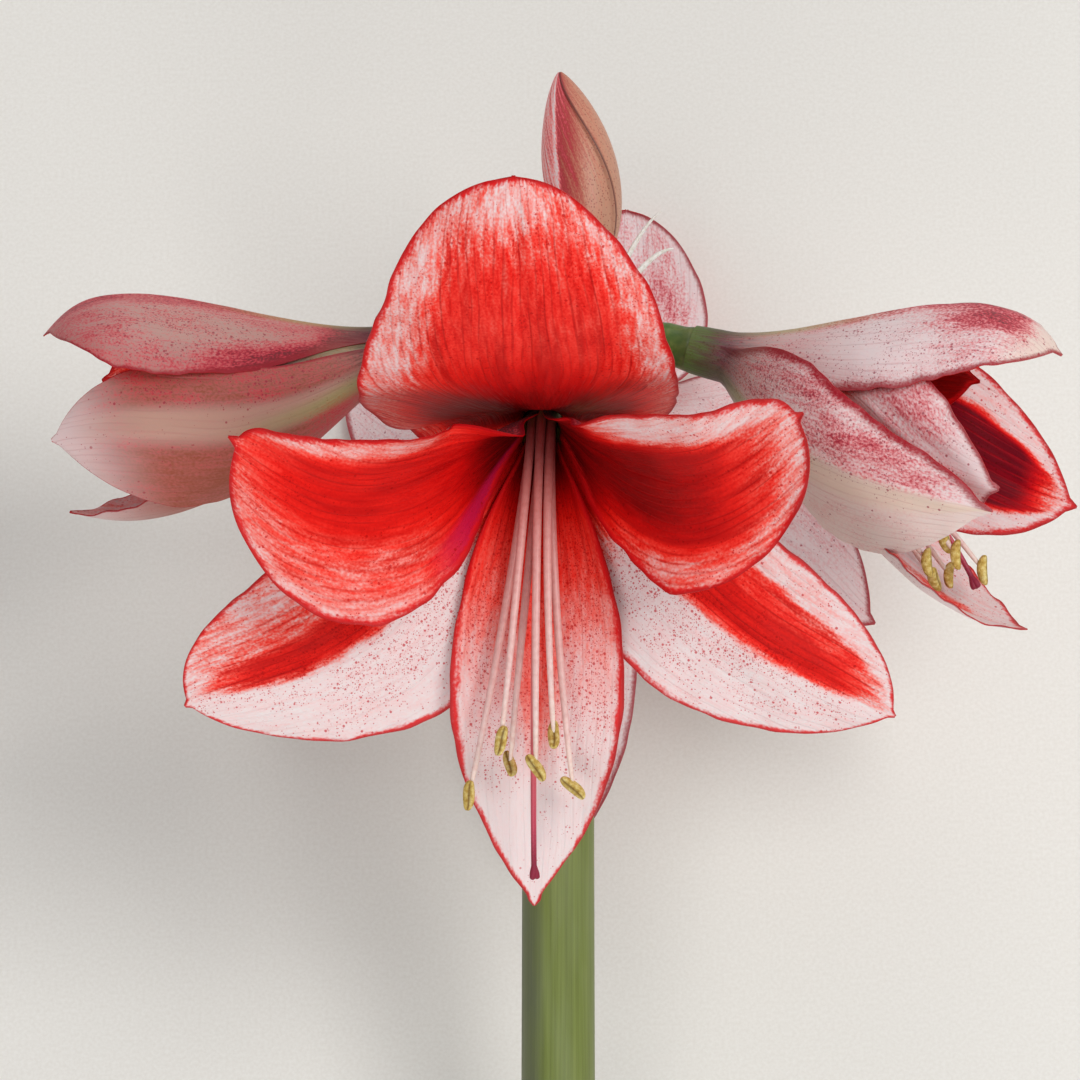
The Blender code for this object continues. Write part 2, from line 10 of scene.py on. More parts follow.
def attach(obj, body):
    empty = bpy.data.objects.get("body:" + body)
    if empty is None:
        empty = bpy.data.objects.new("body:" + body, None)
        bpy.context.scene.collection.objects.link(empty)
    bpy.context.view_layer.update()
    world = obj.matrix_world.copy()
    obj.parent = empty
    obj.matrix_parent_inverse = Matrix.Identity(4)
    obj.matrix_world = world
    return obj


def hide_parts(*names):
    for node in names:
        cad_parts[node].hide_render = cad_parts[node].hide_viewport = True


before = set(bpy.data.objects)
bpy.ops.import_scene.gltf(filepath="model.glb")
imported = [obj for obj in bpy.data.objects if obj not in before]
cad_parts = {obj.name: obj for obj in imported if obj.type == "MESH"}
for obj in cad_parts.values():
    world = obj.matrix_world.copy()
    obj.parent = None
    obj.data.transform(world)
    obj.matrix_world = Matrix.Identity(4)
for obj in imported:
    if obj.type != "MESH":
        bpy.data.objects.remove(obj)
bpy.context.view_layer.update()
bpy.ops.object.select_all(action="DESELECT")
bpy.context.scene.view_settings.view_transform = "Standard"


# The scape.
# The leafless stalk that carries the whole head: green, as thick as a thumb, hollow, and bare but for a
# waxy bloom. It is cut square, and its domed head carries the flower stalks.
MM = 0.001
SCAPE_LENGTH = 400.0
SCAPE_TOP_RADIUS = 10.8
SCAPE_CUT_RADIUS = 11.6
HEAD_RADIUS = 12.0
HEAD_CENTRE = -9.0
HOLLOW_RADIUS = 6.5
HOLLOW_DEPTH = 60.0
TAPER_LENGTH = 250.0
SCAPE_SIDES = 72
TAPER_STEPS, SHAFT_STEPS = 25, 13
SLOPE = 17.0
ROLL = 1.83
UMBEL_FOOT = (-1.7, 151.0, 127.8)
lying = Matrix.Translation(Vector(UMBEL_FOOT) * MM)
lying = lying @ Matrix.Rotation(math.radians(ROLL), 4, "Y") @ Matrix.Rotation(math.radians(SLOPE), 4, "X")


def laid_down(points):
    """Points of the plant's own frame in millimetres, as an array, taken to the table in metres."""
    points = np.asarray(points, float) * MM
    return points @ np.array(lying.to_3x3()).T + np.array(lying.translation)


def place_points(obj, points):
    """Moves an object's vertices to points of the plant's own frame."""
    obj.data.vertices.foreach_set("co", laid_down(points).ravel())
    obj.data.update()


def points_of(obj):
    points = np.empty(len(obj.data.vertices) * 3)
    obj.data.vertices.foreach_get("co", points)
    return points.reshape(-1, 3)


def mark(obj, name, values):
    """Stores one number or one vector for each vertex, for the materials to read."""
    values = np.asarray(values, float)
    kind = "FLOAT_VECTOR" if values.ndim == 2 else "FLOAT"
    layer = obj.data.attributes.new(name, kind, "POINT")
    layer.data.foreach_set("vector" if values.ndim == 2 else "value", values.ravel())


def hex_colour(text):
    """An sRGB hex value as a linear colour with alpha 1."""
    parts = [int(text[i:i + 2], 16) / 255.0 for i in (1, 3, 5)]
    linear = [part / 12.92 if part <= 0.04045 else ((part + 0.055) / 1.055) ** 2.4 for part in parts]
    return (*linear, 1.0)


def fill_inputs(node, inputs):
    """Gives each of a node's inputs a value, a hex colour or another node's output."""
    for socket, value in inputs.items():
        if isinstance(value, bpy.types.NodeSocket):
            node.id_data.links.new(value, node.inputs[socket])
        else:
            node.inputs[socket].default_value = hex_colour(value) if isinstance(value, str) else value


def add_node(tree, kind, *inputs, output=0, stops=(), **more):
    """Adds a shader node with its settings and links, and returns one of its outputs.

    The kind is the node's type and, after a space, its main setting: its operation, its interpolation or
    the attribute that it reads. The plain values fill its first inputs in order. Of the named ones, those
    with a capital letter are inputs too, and the others are settings. The stops are a colour ramp's.
    """
    kind, _, main = kind.partition(" ")
    node = tree.nodes.new("ShaderNode" + kind)
    if main:
        own_name = {"MapRange": "interpolation_type", "Attribute": "attribute_name"}
        setattr(node, own_name.get(kind, "operation"), main)
    if stops:
        ramp = node.color_ramp
        for end in (1, 0):
            ramp.elements[end].position = stops[-end][0]
            ramp.elements[end].color = hex_colour(stops[-end][1])
        for position, colour in stops[1:-1]:
            ramp.elements.new(position).color = hex_colour(colour)
    named = {name: value for name, value in more.items() if name[0].isupper()}
    for name, value in more.items():
        if name not in named:
            setattr(node, name, value)
    fill_inputs(node, {**dict(enumerate(inputs)), **named})
    return node.outputs[output]


def new_material(name):
    """A new node material: the way to add a node to it, its shader, and the material itself."""
    made = bpy.data.materials.new(name)
    made.use_nodes = True
    return functools.partial(add_node, made.node_tree), made.node_tree.nodes["Principled BSDF"], made


# Living stalk with a waxy bloom: a satin green skin with fine darker strands along it, which a thin
# blue-grey wax veils in patches, and a dull grey-green band of painted shade down its left side. The cut
# end is pale wet flesh.
add, skin, scape_material = new_material("living_scape_with_waxy_bloom")
grain = add("Attribute grain", output="Vector")
strand_place = add("VectorMath MULTIPLY", grain, (1 / 0.9, 1 / 60, 1 / 0.9))
strands = add("TexNoise", strand_place, Scale=1.0, Detail=3.0)
bloom_place = add("VectorMath MULTIPLY", grain, (1 / 7, 1 / 45, 1 / 7))
bloom = add("TexNoise", bloom_place, Scale=1.0, Detail=4.0)
pore_place = add("VectorMath MULTIPLY", grain, (1 / 0.5, 1 / 0.8, 1 / 0.5))
pores = add("TexNoise", pore_place, Scale=1.0, Detail=2.0)
green = add("ValToRGB", strands, stops=[(0.32, "#656F32"), (0.46, "#6C7737"), (0.58, "#727D3B"),
                                        (0.7, "#7A8442")])
veil = add("MapRange", bloom, 0.42, 0.68, 0.0, 0.3)
waxed = add("MixRGB", veil, green, "#848D66")
# Painted shade: the left side is darkened to a dull grey-green, patchy with the bloom.
weathered = add("Attribute weathered", output="Fac")
shade_patchiness = add("MapRange", bloom, 0.25, 0.6, 0.5, 1.0)
weathered = add("Math MULTIPLY", weathered, shade_patchiness)
waxed = add("MixRGB", weathered, waxed, "#4E5044")
flesh = add("Attribute flesh", output="Fac")
flesh_colour = add("ValToRGB", pores, stops=[(0.35, "#A9B46A"), (0.65, "#D3D7A4")])
shown = add("MixRGB", flesh, waxed, flesh_colour)
shine = add("MapRange", bloom, 0.3, 0.7, 0.38, 0.58)
ribs = add("Bump", Strength=0.22, Distance=0.0003, Height=strands)
pitted = add("Bump", Strength=0.35, Distance=0.0001, Height=pores, Normal=ribs)
fill_inputs(skin, {"Base Color": shown, "Roughness": shine, "Normal": pitted, "Specular IOR Level": 0.4,
                   "Subsurface Weight": 0.08, "Subsurface Radius": (0.6, 1.0, 0.3),
                   "Subsurface Scale": 0.002})

# A circle is drawn at the foot of the hollow and extruded ring by ring: out of the hollow, over the cut
# face, up the stalk and over the domed head.
head_foot = HEAD_CENTRE - math.sqrt(HEAD_RADIUS**2 - SCAPE_TOP_RADIUS**2)
scape_rings = [
    (HOLLOW_RADIUS - 0.6, HOLLOW_DEPTH - SCAPE_LENGTH),
    (HOLLOW_RADIUS - 0.2, 20.0 - SCAPE_LENGTH),
    (HOLLOW_RADIUS, 3.0 - SCAPE_LENGTH),
    (HOLLOW_RADIUS + 0.2, 0.2 - SCAPE_LENGTH),
    (HOLLOW_RADIUS + 0.6, -SCAPE_LENGTH),
    (9.0, 0.25 - SCAPE_LENGTH),
    (SCAPE_CUT_RADIUS - 0.5, -SCAPE_LENGTH),
    (SCAPE_CUT_RADIUS - 0.1, 0.15 - SCAPE_LENGTH),
    (SCAPE_CUT_RADIUS, 0.6 - SCAPE_LENGTH),
]
for step in range(1, TAPER_STEPS + 1):
    height = 0.6 - SCAPE_LENGTH + TAPER_LENGTH * step / TAPER_STEPS
    narrower = (SCAPE_TOP_RADIUS - SCAPE_CUT_RADIUS) * step / TAPER_STEPS
    scape_rings.append((SCAPE_CUT_RADIUS + narrower, height))
taper_end = scape_rings[-1][1]
for step in range(1, SHAFT_STEPS + 1):
    height = taper_end + (head_foot - 8.0 - taper_end) * step / SHAFT_STEPS
    scape_rings.append((SCAPE_TOP_RADIUS, height))
for degrees in range(-20, 90, 10):
    angle = math.radians(degrees)
    scape_rings.append((HEAD_RADIUS * math.cos(angle), HEAD_CENTRE + HEAD_RADIUS * math.sin(angle)))
bpy.ops.mesh.primitive_circle_add(vertices=SCAPE_SIDES, radius=1.0, fill_type="NOTHING")
scape = bpy.context.object
scape.name = "scape_stalk"
bpy.ops.object.mode_set(mode="EDIT")
for ring in scape_rings[1:]:
    bpy.ops.mesh.extrude_region_move(TRANSFORM_OT_translate={"value": (0.0, 0.0, 1.0)})
bpy.ops.object.mode_set(mode="OBJECT")
spun = points_of(scape)
turn = np.arctan2(spun[:, 1], spun[:, 0])
ring_of = np.rint(spun[:, 2] - spun[:, 2].min()).astype(int)
radius = np.array([ring[0] for ring in scape_rings])[ring_of]
height = np.array([ring[1] for ring in scape_rings])[ring_of]
# The skin isn't quite round: three broad flats, 0.8 % deep, wind slowly up it.
on_skin = (ring_of > 7) & (radius > 10)
radius = radius * (1.0 + np.where(on_skin, 0.008 * np.cos(3.0 * turn + height * 0.004), 0.0))
scape_points = np.stack([radius * np.cos(turn), height, -radius * np.sin(turn)], -1)
place_points(scape, scape_points)
mark(scape, "grain", scape_points)
# The first seven rings are the hollow and the cut face.
mark(scape, "flesh", np.where(ring_of <= 6, 1.0, 0.0))
# A dull grey-green band of painted shade darkens the left side, which faces away from the light.
leftward = -np.cos(turn) - 0.3 * np.sin(turn)
mark(scape, "weathered", 0.7 * np.clip((leftward - 0.62) / 0.3, 0.0, 1.0))
bpy.ops.object.mode_set(mode="EDIT")
bpy.ops.mesh.select_all(action="SELECT")
bpy.ops.mesh.fill_holes(sides=0)
bpy.ops.mesh.normals_make_consistent(inside=False)
bpy.ops.object.mode_set(mode="OBJECT")
bpy.ops.object.shade_smooth_by_angle(angle=math.radians(50.0))
scape.data.materials.append(scape_material)
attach(scape, "root")
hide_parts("scape")


# The flower stalks and their ovaries.
# Each flower stands on a short green stalk that bends out of the head of the scape and swells at its end
# into a three-lobed ovary, flushed purple-brown where the tepals grow on it. The bud's stalk is straighter.
GAP = 0.3
PEDICEL_RADIUS = 4.2
PEDICEL_LIFT = 30.0
PEDICEL_POINTS = 26
STALK_PULL = 8.0
OVARY_RADIUS = 6.6
OVARY_LENGTH = 16.0
OVARY_TOP_RADIUS = 7.1
OVARY_TUCK = 1.0
TUCKED_RADIUS = 6.0
# Where each flower's tepals start, which way it faces, and the side of the head that its stalk grows from.
FLOWERS = {
    "front": {"base": (-4.5, -23.0, 38.0), "yaw": -3.0, "pitch": -28.0, "side": (0.0, 1.0)},
    "left": {"base": (-42.0, -1.0, 2.0), "yaw": -92.0, "pitch": -14.0, "side": (-1.0, 0.0)},
    "right": {"base": (40.0, -3.0, 8.0), "yaw": 75.0, "pitch": -14.0, "side": (1.0, 0.0)},
    "rear": {"base": (4.5, -15.0, -38.0), "yaw": 175.0, "pitch": -26.0, "side": (0.0, -1.0)},
}


def flower_axes(name):
    """Right, up and facing directions of a flower, as the columns of an array."""
    yaw, pitch = math.radians(FLOWERS[name]["yaw"]), math.radians(FLOWERS[name]["pitch"])
    face = Vector((math.sin(yaw) * math.cos(pitch), math.sin(pitch), math.cos(yaw) * math.cos(pitch)))
    right = Vector((0.0, 1.0, 0.0)).cross(face).normalized()
    return np.array(Matrix((right, face.cross(right), face)).transposed())


def in_plant(name, points):
    """Points of a flower's own frame, taken to the plant's frame."""
    return np.asarray(points, float) @ flower_axes(name).T + np.array(FLOWERS[name]["base"])


def bezier(start, first_pull, last_pull, end, count):
    """Points evenly stepped in t along a cubic Bezier curve."""
    t = np.linspace(0.0, 1.0, count)[:, None]
    corners = [np.asarray(point, float) for point in (start, first_pull, last_pull, end)]
    weights = ((1 - t) ** 3, 3 * (1 - t) ** 2 * t, 3 * (1 - t) * t * t, t**3)
    return sum(weight * corner for weight, corner in zip(weights, corners))


def drawn_out(name, path, radii, fineness):
    """A round stalk along a path of the plant's frame: a curve with a bevel, turned into a mesh.

    It is marked with how far along the path each vertex is, from 0 to 1, and with where it is in
    millimetres.
    """
    path = np.asarray(path, float)
    bpy.ops.curve.primitive_nurbs_path_add()
    stalk = bpy.context.object
    stalk.name = name
    shape = stalk.data
    shape.splines.clear()
    line = shape.splines.new("POLY")
    line.points.add(len(path) - 1)
    line.points.foreach_set("co", np.column_stack([path, np.ones(len(path))]).ravel())
    line.points.foreach_set("radius", np.asarray(radii, float))
    shape.bevel_depth = 1.0
    shape.bevel_resolution = fineness
    shape.use_fill_caps = True
    bpy.ops.object.convert(target="MESH")
    points = points_of(stalk)
    nearest = ((points[:, None, :] - path[None, :, :]) ** 2).sum(-1).argmin(1)
    mark(stalk, "share", nearest / (len(path) - 1))
    mark(stalk, "grain", points)
    return stalk, points, nearest


# Living stalk and ovary: a satin green skin like the scape's but glossier, fresher and darker, the darker
# green partly painted shade from the flowers above it, with fine strands and a purple-brown flush that
# grows towards the tepals.
add, skin, stalk_material = new_material("living_flower_stalk")
grain = add("Attribute grain", output="Vector")
share = add("Attribute share", output="Fac")
cloud_place = add("VectorMath SCALE", grain, Scale=1 / 4.0)
clouds = add("TexNoise", cloud_place, Scale=1.0, Detail=4.0)
fine_place = add("VectorMath SCALE", grain, Scale=1 / 0.6)
pores = add("TexNoise", fine_place, Scale=1.0, Detail=2.0)
# The deep greens are partly the stalk's own colour and partly painted shade.
green = add("ValToRGB", clouds, stops=[(0.3, "#364E12"), (0.5, "#48641E"), (0.68, "#688032")])
unevenness = add("Math MULTIPLY_ADD", clouds, 0.5, -0.25)
flush_place = add("Math ADD", share, unevenness)
flush = add("MapRange", flush_place, 0.78, 1.0, 0.0, 0.4)
shown = add("MixRGB", flush, green, "#5E3A2C")
shine = add("MapRange", pores, 0.3, 0.7, 0.32, 0.48)
pitted = add("Bump", Strength=0.4, Distance=0.00015, Height=pores)
fill_inputs(skin, {"Base Color": shown, "Roughness": shine, "Normal": pitted, "Specular IOR Level": 0.45,
                   "Subsurface Weight": 0.08, "Subsurface Radius": (0.6, 1.0, 0.3),
                   "Subsurface Scale": 0.002})


def finish_stalk(stalk, points, node):
    place_points(stalk, points)
    bpy.ops.object.shade_smooth_by_angle(angle=math.radians(50.0))
    stalk.data.materials.append(stalk_material)
    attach(stalk, "root")
    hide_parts(node)


for name, flower in FLOWERS.items():
    lift = math.radians(PEDICEL_LIFT)
    out = np.array([math.cos(lift) * flower["side"][0], math.sin(lift), math.cos(lift) * flower["side"][1]])
    start = np.array([0.0, HEAD_CENTRE, 0.0]) + (HEAD_RADIUS + GAP) * out
    face = flower_axes(name)[:, 2]
    # The ovary's top is narrower and tucked between the feet of the tepals, which hide it.
    top = np.array(flower["base"]) + OVARY_TUCK * face
    ovary_foot = np.array(flower["base"]) - OVARY_LENGTH * face
    pulls = (start + STALK_PULL * out, ovary_foot - STALK_PULL * face)
    bend = bezier(start, *pulls, ovary_foot, PEDICEL_POINTS)
    ovary_share = np.linspace(0.0, 1.0, 17)[1:]
    path = np.vstack([bend, ovary_foot + ovary_share[:, None] * (top - ovary_foot)])
    swelling = np.interp(ovary_share, [0.0, 0.2, 0.45, 0.75, 0.93, 1.0],
                         [4.6, 5.6, OVARY_RADIUS, OVARY_RADIUS, OVARY_TOP_RADIUS, TUCKED_RADIUS])
    foot_flare = 0.35 * np.exp(-np.arange(PEDICEL_POINTS) / 2.5)
    end_flare = 0.4 * np.linspace(0.0, 1.0, PEDICEL_POINTS) ** 6
    radii = np.concatenate([PEDICEL_RADIUS + foot_flare + end_flare, swelling])
    stalk, points, nearest = drawn_out(name + "_flower_stalk", path, radii, 10)
    # The ovary's three lobes: furrows between them, 0.5 mm deep, fade in over the last part of the path.
    away = points - path[nearest]
    seen = away @ flower_axes(name)
    turn = np.arctan2(seen[:, 1], seen[:, 0])
    lobed = np.clip((nearest - PEDICEL_POINTS + 2) / 8.0, 0.0, 1.0)
    lobed = lobed * np.clip((len(path) - nearest) / 4.0, 0.0, 1.0)
    furrow = (0.5 + 0.5 * np.cos(3.0 * turn + math.radians(90.0))) ** 3
    points = points - away * (0.085 * lobed * furrow)[:, None]
    finish_stalk(stalk, points, name + "_flower_pedicel")

BUD_STALK_RADIUS = 3.4
BUD_STALK_POINTS = 30
BUD_FOOT = np.array([9.0, 21.0, -9.0])
BUD_TIP = np.array([0.6, 81.4, -11.0])
bud_way = (BUD_TIP - BUD_FOOT) / np.linalg.norm(BUD_TIP - BUD_FOOT)
start = np.array([0.0, HEAD_CENTRE + HEAD_RADIUS + GAP, 0.0])
end = BUD_FOOT - GAP * bud_way
pulls = (start + np.array([0.0, STALK_PULL, 0.0]), end - STALK_PULL * bud_way)
path = bezier(start, *pulls, end, BUD_STALK_POINTS)
radii = BUD_STALK_RADIUS + 1.2 * np.linspace(0.0, 1.0, BUD_STALK_POINTS) ** 2
stalk, points, nearest = drawn_out("bud_stalk", path, radii, 10)
finish_stalk(stalk, points, "bud_pedicel")


# The front flower's tepals.
# Three outer sepals and three inner petals stand in a short tube on the ovary: thin, satin, fleshy blades
# with parallel veins. Their inner faces are white, flooded with scarlet sap along the veins from the throat
# outwards and edged with a red margin, and their backs are pale, blushed and speckled.
TUBE = 12.0
INNER_FOOT, INNER_FOOT_HALF = 5.0, 4.4
OUTER_FOOT, OUTER_FOOT_HALF = 6.8, 6.0
OUTER_RELAX = 0.35
# Half the width that a tepal may take, as a share of its distance from the flower's axis: a little more at
# the very foot, where the tepals are grown together, then less and less as they part.
CLOSED_SHARE, TUBE_SHARE, SECTOR_SHARE = 1.045, 0.94, 0.92
FOOT_FLARE = 0.33
TEPAL_TIP_HALF = 0.35
TEPAL_THICKNESS = 0.75
TEPAL_EDGE_SHARE = 0.45
EDGE_FADE = 9.0
GROOVE_HALF = 1.9
TEPAL_ROWS = 84
TEPAL_COLUMNS = 44
INNER = {"foot": INNER_FOOT, "foot_half": INNER_FOOT_HALF, "relax": 0.0, "ruffle": 0.6}
OUTER = {"foot": OUTER_FOOT, "foot_half": OUTER_FOOT_HALF, "relax": OUTER_RELAX, "ruffle": 0.45}
# A back without a tint of its own: a faint blush all over, and a little more of it in the outer half.
PLAIN_BACK = [0.1, (-0.9, 0.9, 0.4, 1.1, 0.5, 0.22)]
# What a tepal is like unless its own line says otherwise, in millimetres and degrees. The lead and the end
# are the midrib's directions at the throat and at the tip, away from the flower's axis, and the pulls say
# how far it keeps to them. A margin of three numbers holds near the foot, in the middle and at the tip.
TEPAL_USUAL = {
    "lead": 22.0,
    "pull_foot": 38.0,
    "pull_tip": 45.0,
    "end": 85.0,
    "grow": 1.1,
    "close": 0.6,
    "cup": 10.0,
    "cup_tip": 0.0,
    "lean": 0.0,
    "wave": 0.0,
    "swing": 0.0,
    "swing_tip": 0.0,
    "groove": 0.7,
    "buckle": 0.5,
    "beak": 2.5,
    "shoulder": 0.0,
    "skew": (0.0, 0.0),
    "bare_side": 0.0,
    "trim": (1.0, 0.5, 0.0),
    "curls": (),
    "margin": 1.9,
    **dict.fromkeys(("red", "calm", "rose", "cream", "mauve", "specks"), ()),
    "blush": PLAIN_BACK,
}


def smooth_step(x):
    x = np.clip(x, 0.0, 1.0)
    return x * x * (3.0 - 2.0 * x)


def ripple(distance, length, seed):
    """A smooth uneven wave between about -1 and 1, with the given usual wavelength."""
    chance = random.Random(seed)
    total = 0.0
    for share in (0.62, 1.0, 1.7, 2.9):
        total = total + np.sin(2.0 * math.pi * (distance / (length * share) + chance.random()))
    return total / 2.6


def laid_on(tepal, along, across, seed):
    """A tepal's surface in its flower's frame, for each share of its length and of its width.

    The cross-section follows the tube near the foot and opens into its own cup beyond it. A shallow groove
    runs down the midrib, the edge is ruffled, the blade buckles a little and its end is drawn out into a
    small beak. Also returned are each point's distance from the midrib, the distances from the foot, the
    half widths without and with the shoulder, and how far along the blade each row is, all in millimetres
    but the last.
    """
    # The midrib runs straight up the tube, arches out to the tip and ends in the beak.
    foot = np.array([tepal["foot"], 0.0])
    throat = np.array([tepal["foot"] + 1.0, TUBE])
    lead, end = math.radians(tepal["lead"]), math.radians(tepal["end"])
    tip = np.array([tepal["reach"], tepal["fore"] + TUBE])
    end_way = np.array([math.sin(end), math.cos(end)])
    first_pull = throat + tepal["pull_foot"] * np.array([math.sin(lead), math.cos(lead)])
    straight = foot + np.linspace(0.0, 1.0, 20)[:-1, None] * (throat - foot)
    beak = tip + np.linspace(0.0, 1.0, 9)[1:, None] * tepal["beak"] * end_way
    arch = bezier(throat, first_pull, tip - tepal["pull_tip"] * end_way, tip, 400)
    rib_line = np.vstack([straight, arch, beak])
    running = np.concatenate([[0.0], np.cumsum(np.linalg.norm(np.diff(rib_line, axis=0), axis=1))])
    length = running[-1] - tepal["beak"]
    at = along * running[-1]
    way = np.minimum(at / length, 1.0)

    def on_rib(distance):
        distance = np.clip(distance, 0.0, running[-1])
        return np.stack([np.interp(distance, running, rib_line[:, i]) for i in (0, 1)], -1)

    rib = on_rib(at)
    tangent = on_rib(at + 0.5) - on_rib(at - 0.5)
    tangent /= np.linalg.norm(tangent, axis=1)[:, None]
    inward = np.stack([-tangent[:, 1], tangent[:, 0]], -1)

    # The blade widens and closes as its own line says, but near the axis it is held within its sector,
    # which a shoulder makes wider.
    grow, close = tepal["grow"], tepal["close"]
    peak = (grow / (grow + close)) ** grow * (close / (grow + close)) ** close
    blade = tepal["foot_half"] * (1.0 - way) ** 2 + tepal["half"] * way**grow * (1.0 - way) ** close / peak
    drawn = TEPAL_TIP_HALF + 0.75 * np.minimum(running[-1] - at, tepal["beak"])
    blade = (blade**3 + drawn**3) ** (1.0 / 3.0)
    blade = blade + FOOT_FLARE * tepal["foot_half"] * (1.0 - smooth_step(at / TUBE))
    sector = np.interp(at, (0.0, TUBE, 2.0 * TUBE), (CLOSED_SHARE, TUBE_SHARE, SECTOR_SHARE)) * rib[:, 0]
    narrow = (blade**-7 + sector**-7) ** (-1.0 / 7.0)
    spread = sector + tepal["shoulder"] * smooth_step((at - 0.85 * TUBE) / (0.7 * TUBE))
    half = (blade**-7 + spread**-7) ** (-1.0 / 7.0)

    # The cross-section bends round the flower's axis in the tube, relaxes past it and takes its own cup.
    tube_share = TUBE / length
    past_tube = np.clip((way - tube_share) / (1.0 - tube_share), 0.0, 1.0)
    opened = smooth_step((way - tube_share) / 0.30)
    near_tip = smooth_step((way - 0.55) / 0.4)
    relaxed = tepal["relax"] * opened
    if tepal["shoulder"] > 0.0:
        outer_part = smooth_step((way - 0.25) / 0.25)
        relaxed = 0.8 * smooth_step((at - TUBE) / 8.0) * (1.0 - outer_part) + relaxed * outer_part
    round_axis = narrow * np.clip(tangent[:, 1], 0.0, 1.0) / np.maximum(rib[:, 0], 1.0)
    own_cup = np.radians(tepal["cup"] * (1.0 - near_tip) + tepal["cup_tip"] * near_tip)
    bend = round_axis * (1.0 - relaxed) + own_cup * opened
    bend = np.where(np.abs(bend) < 1e-4, 1e-4, bend)[:, None]

    # The two halves differ: one is wider, fuller nearer the foot or the tip, trimmed or uneven.
    side = across[None, :]
    lean = tepal["lean"] * opened[:, None]
    wide = half[:, None] * np.where(side > 0.0, 1.0 + lean, 1.0 - lean)
    uneven = [ripple(at, 21.0, seed + turn) * opened for turn in (1, 2)]
    skewed = np.where(side > 0.0, tepal["skew"][0], tepal["skew"][1]) * np.sin(2.0 * math.pi * way)[:, None]
    wide = wide * (1.0 + skewed)
    trim_side, trim_from, trim_share = tepal["trim"]
    trimmed = 1.0 - trim_share * smooth_step((way - trim_from) / (1.0 - trim_from))[:, None]
    wide = np.where(side * trim_side > 0.0, wide * trimmed, wide)
    wide = wide * (1.0 + 0.012 * np.where(side > 0.0, uneven[0][:, None], uneven[1][:, None]))
    sideways = np.sin(side * bend) / bend * wide
    lifted = (1.0 - np.cos(side * bend)) / bend * wide
    edge = smooth_step((way - tube_share - 0.1) / 0.35)[:, None]
    # Three waves run along each edge, out of step with those of the other one.
    phase = np.where(across > 0.0, 0.0, 0.4)[None, :]
    waves = np.sin(2.0 * math.pi * (3.0 * way[:, None] + phase))
    lifted = lifted + tepal["wave"] * edge * np.abs(side) ** 3 * waves

    # Ruffles along the edges, the groove over the midrib, shallow buckles and single curls.
    span = side * wide
    ruffles = [ripple(at, 12.0, seed + turn)[:, None] for turn in (3, 4)]
    ruffles = np.where(side > 0.0, ruffles[0], ruffles[1])
    lifted = lifted + tepal["ruffle"] * edge * np.abs(side) ** 5 * ruffles
    groove_ends = opened * (1.0 - smooth_step((way - 0.86) / 0.14))
    lifted = lifted - tepal["groove"] * np.exp(-((span / GROOVE_HALF) ** 2)) * groove_ends[:, None]
    buckles = ripple(at[:, None] + 0.5 * span, 34.0, seed + 5)
    buckles = buckles * ripple(span - 0.3 * at[:, None], 27.0, seed + 6)
    lifted = lifted + tepal["buckle"] * edge * buckles
    for curl_side, curl_at, curl_length, curl_lift in tepal["curls"]:
        curled = np.exp(-(((way - curl_at) / curl_length) ** 2))[:, None]
        lifted = lifted + curl_lift * curled * smooth_step((curl_side * side - 0.35) / 0.65)

    # On its way out the blade swings sideways round the flower's axis.
    swing = tepal["swing_tip"] * smooth_step(past_tube) ** 1.5
    swing = swing + tepal["swing"] * np.sin(math.pi * past_tube) ** 1.5
    azimuth = np.radians(tepal["azimuth"] + swing)[:, None]
    radius = rib[:, 0][:, None] + lifted * inward[:, 0][:, None]
    height = rib[:, 1][:, None] + lifted * inward[:, 1][:, None]
    x = radius * np.cos(azimuth) - sideways * np.sin(azimuth)
    y = radius * np.sin(azimuth) + sideways * np.cos(azimuth)
    return np.stack([x, y, height], -1), span, at, narrow, wide, way


def washed(washes, along, across):
    """How strong a tint is over a blade that is painted in washes, each laid over the ones before it.

    A wash is (from side, to side, from length, to length, softness, strength), with the sides from -1 to 1
    and the length from 0 at the foot to 1 at the tip. One of only three numbers, (to length, softness,
    strength), spans the blade's width from the foot up, and a bare strength covers the whole blade.
    """
    total = np.zeros((len(along), len(across)))
    for wash in washes:
        if isinstance(wash, float):
            total[:] = wash
            continue
        low, high, start, stop, soft, strength = wash if len(wash) == 6 else (-1.3, 1.3, -0.2, *wash)
        side = smooth_step((across - low) / soft + 0.5) * smooth_step((high - across) / soft + 0.5)
        way = smooth_step((along - start) / soft + 0.5) * smooth_step((stop - along) / soft + 0.5)
        cover = way[:, None] * side[None, :]
        total = total * (1.0 - cover) + strength * cover
    return total


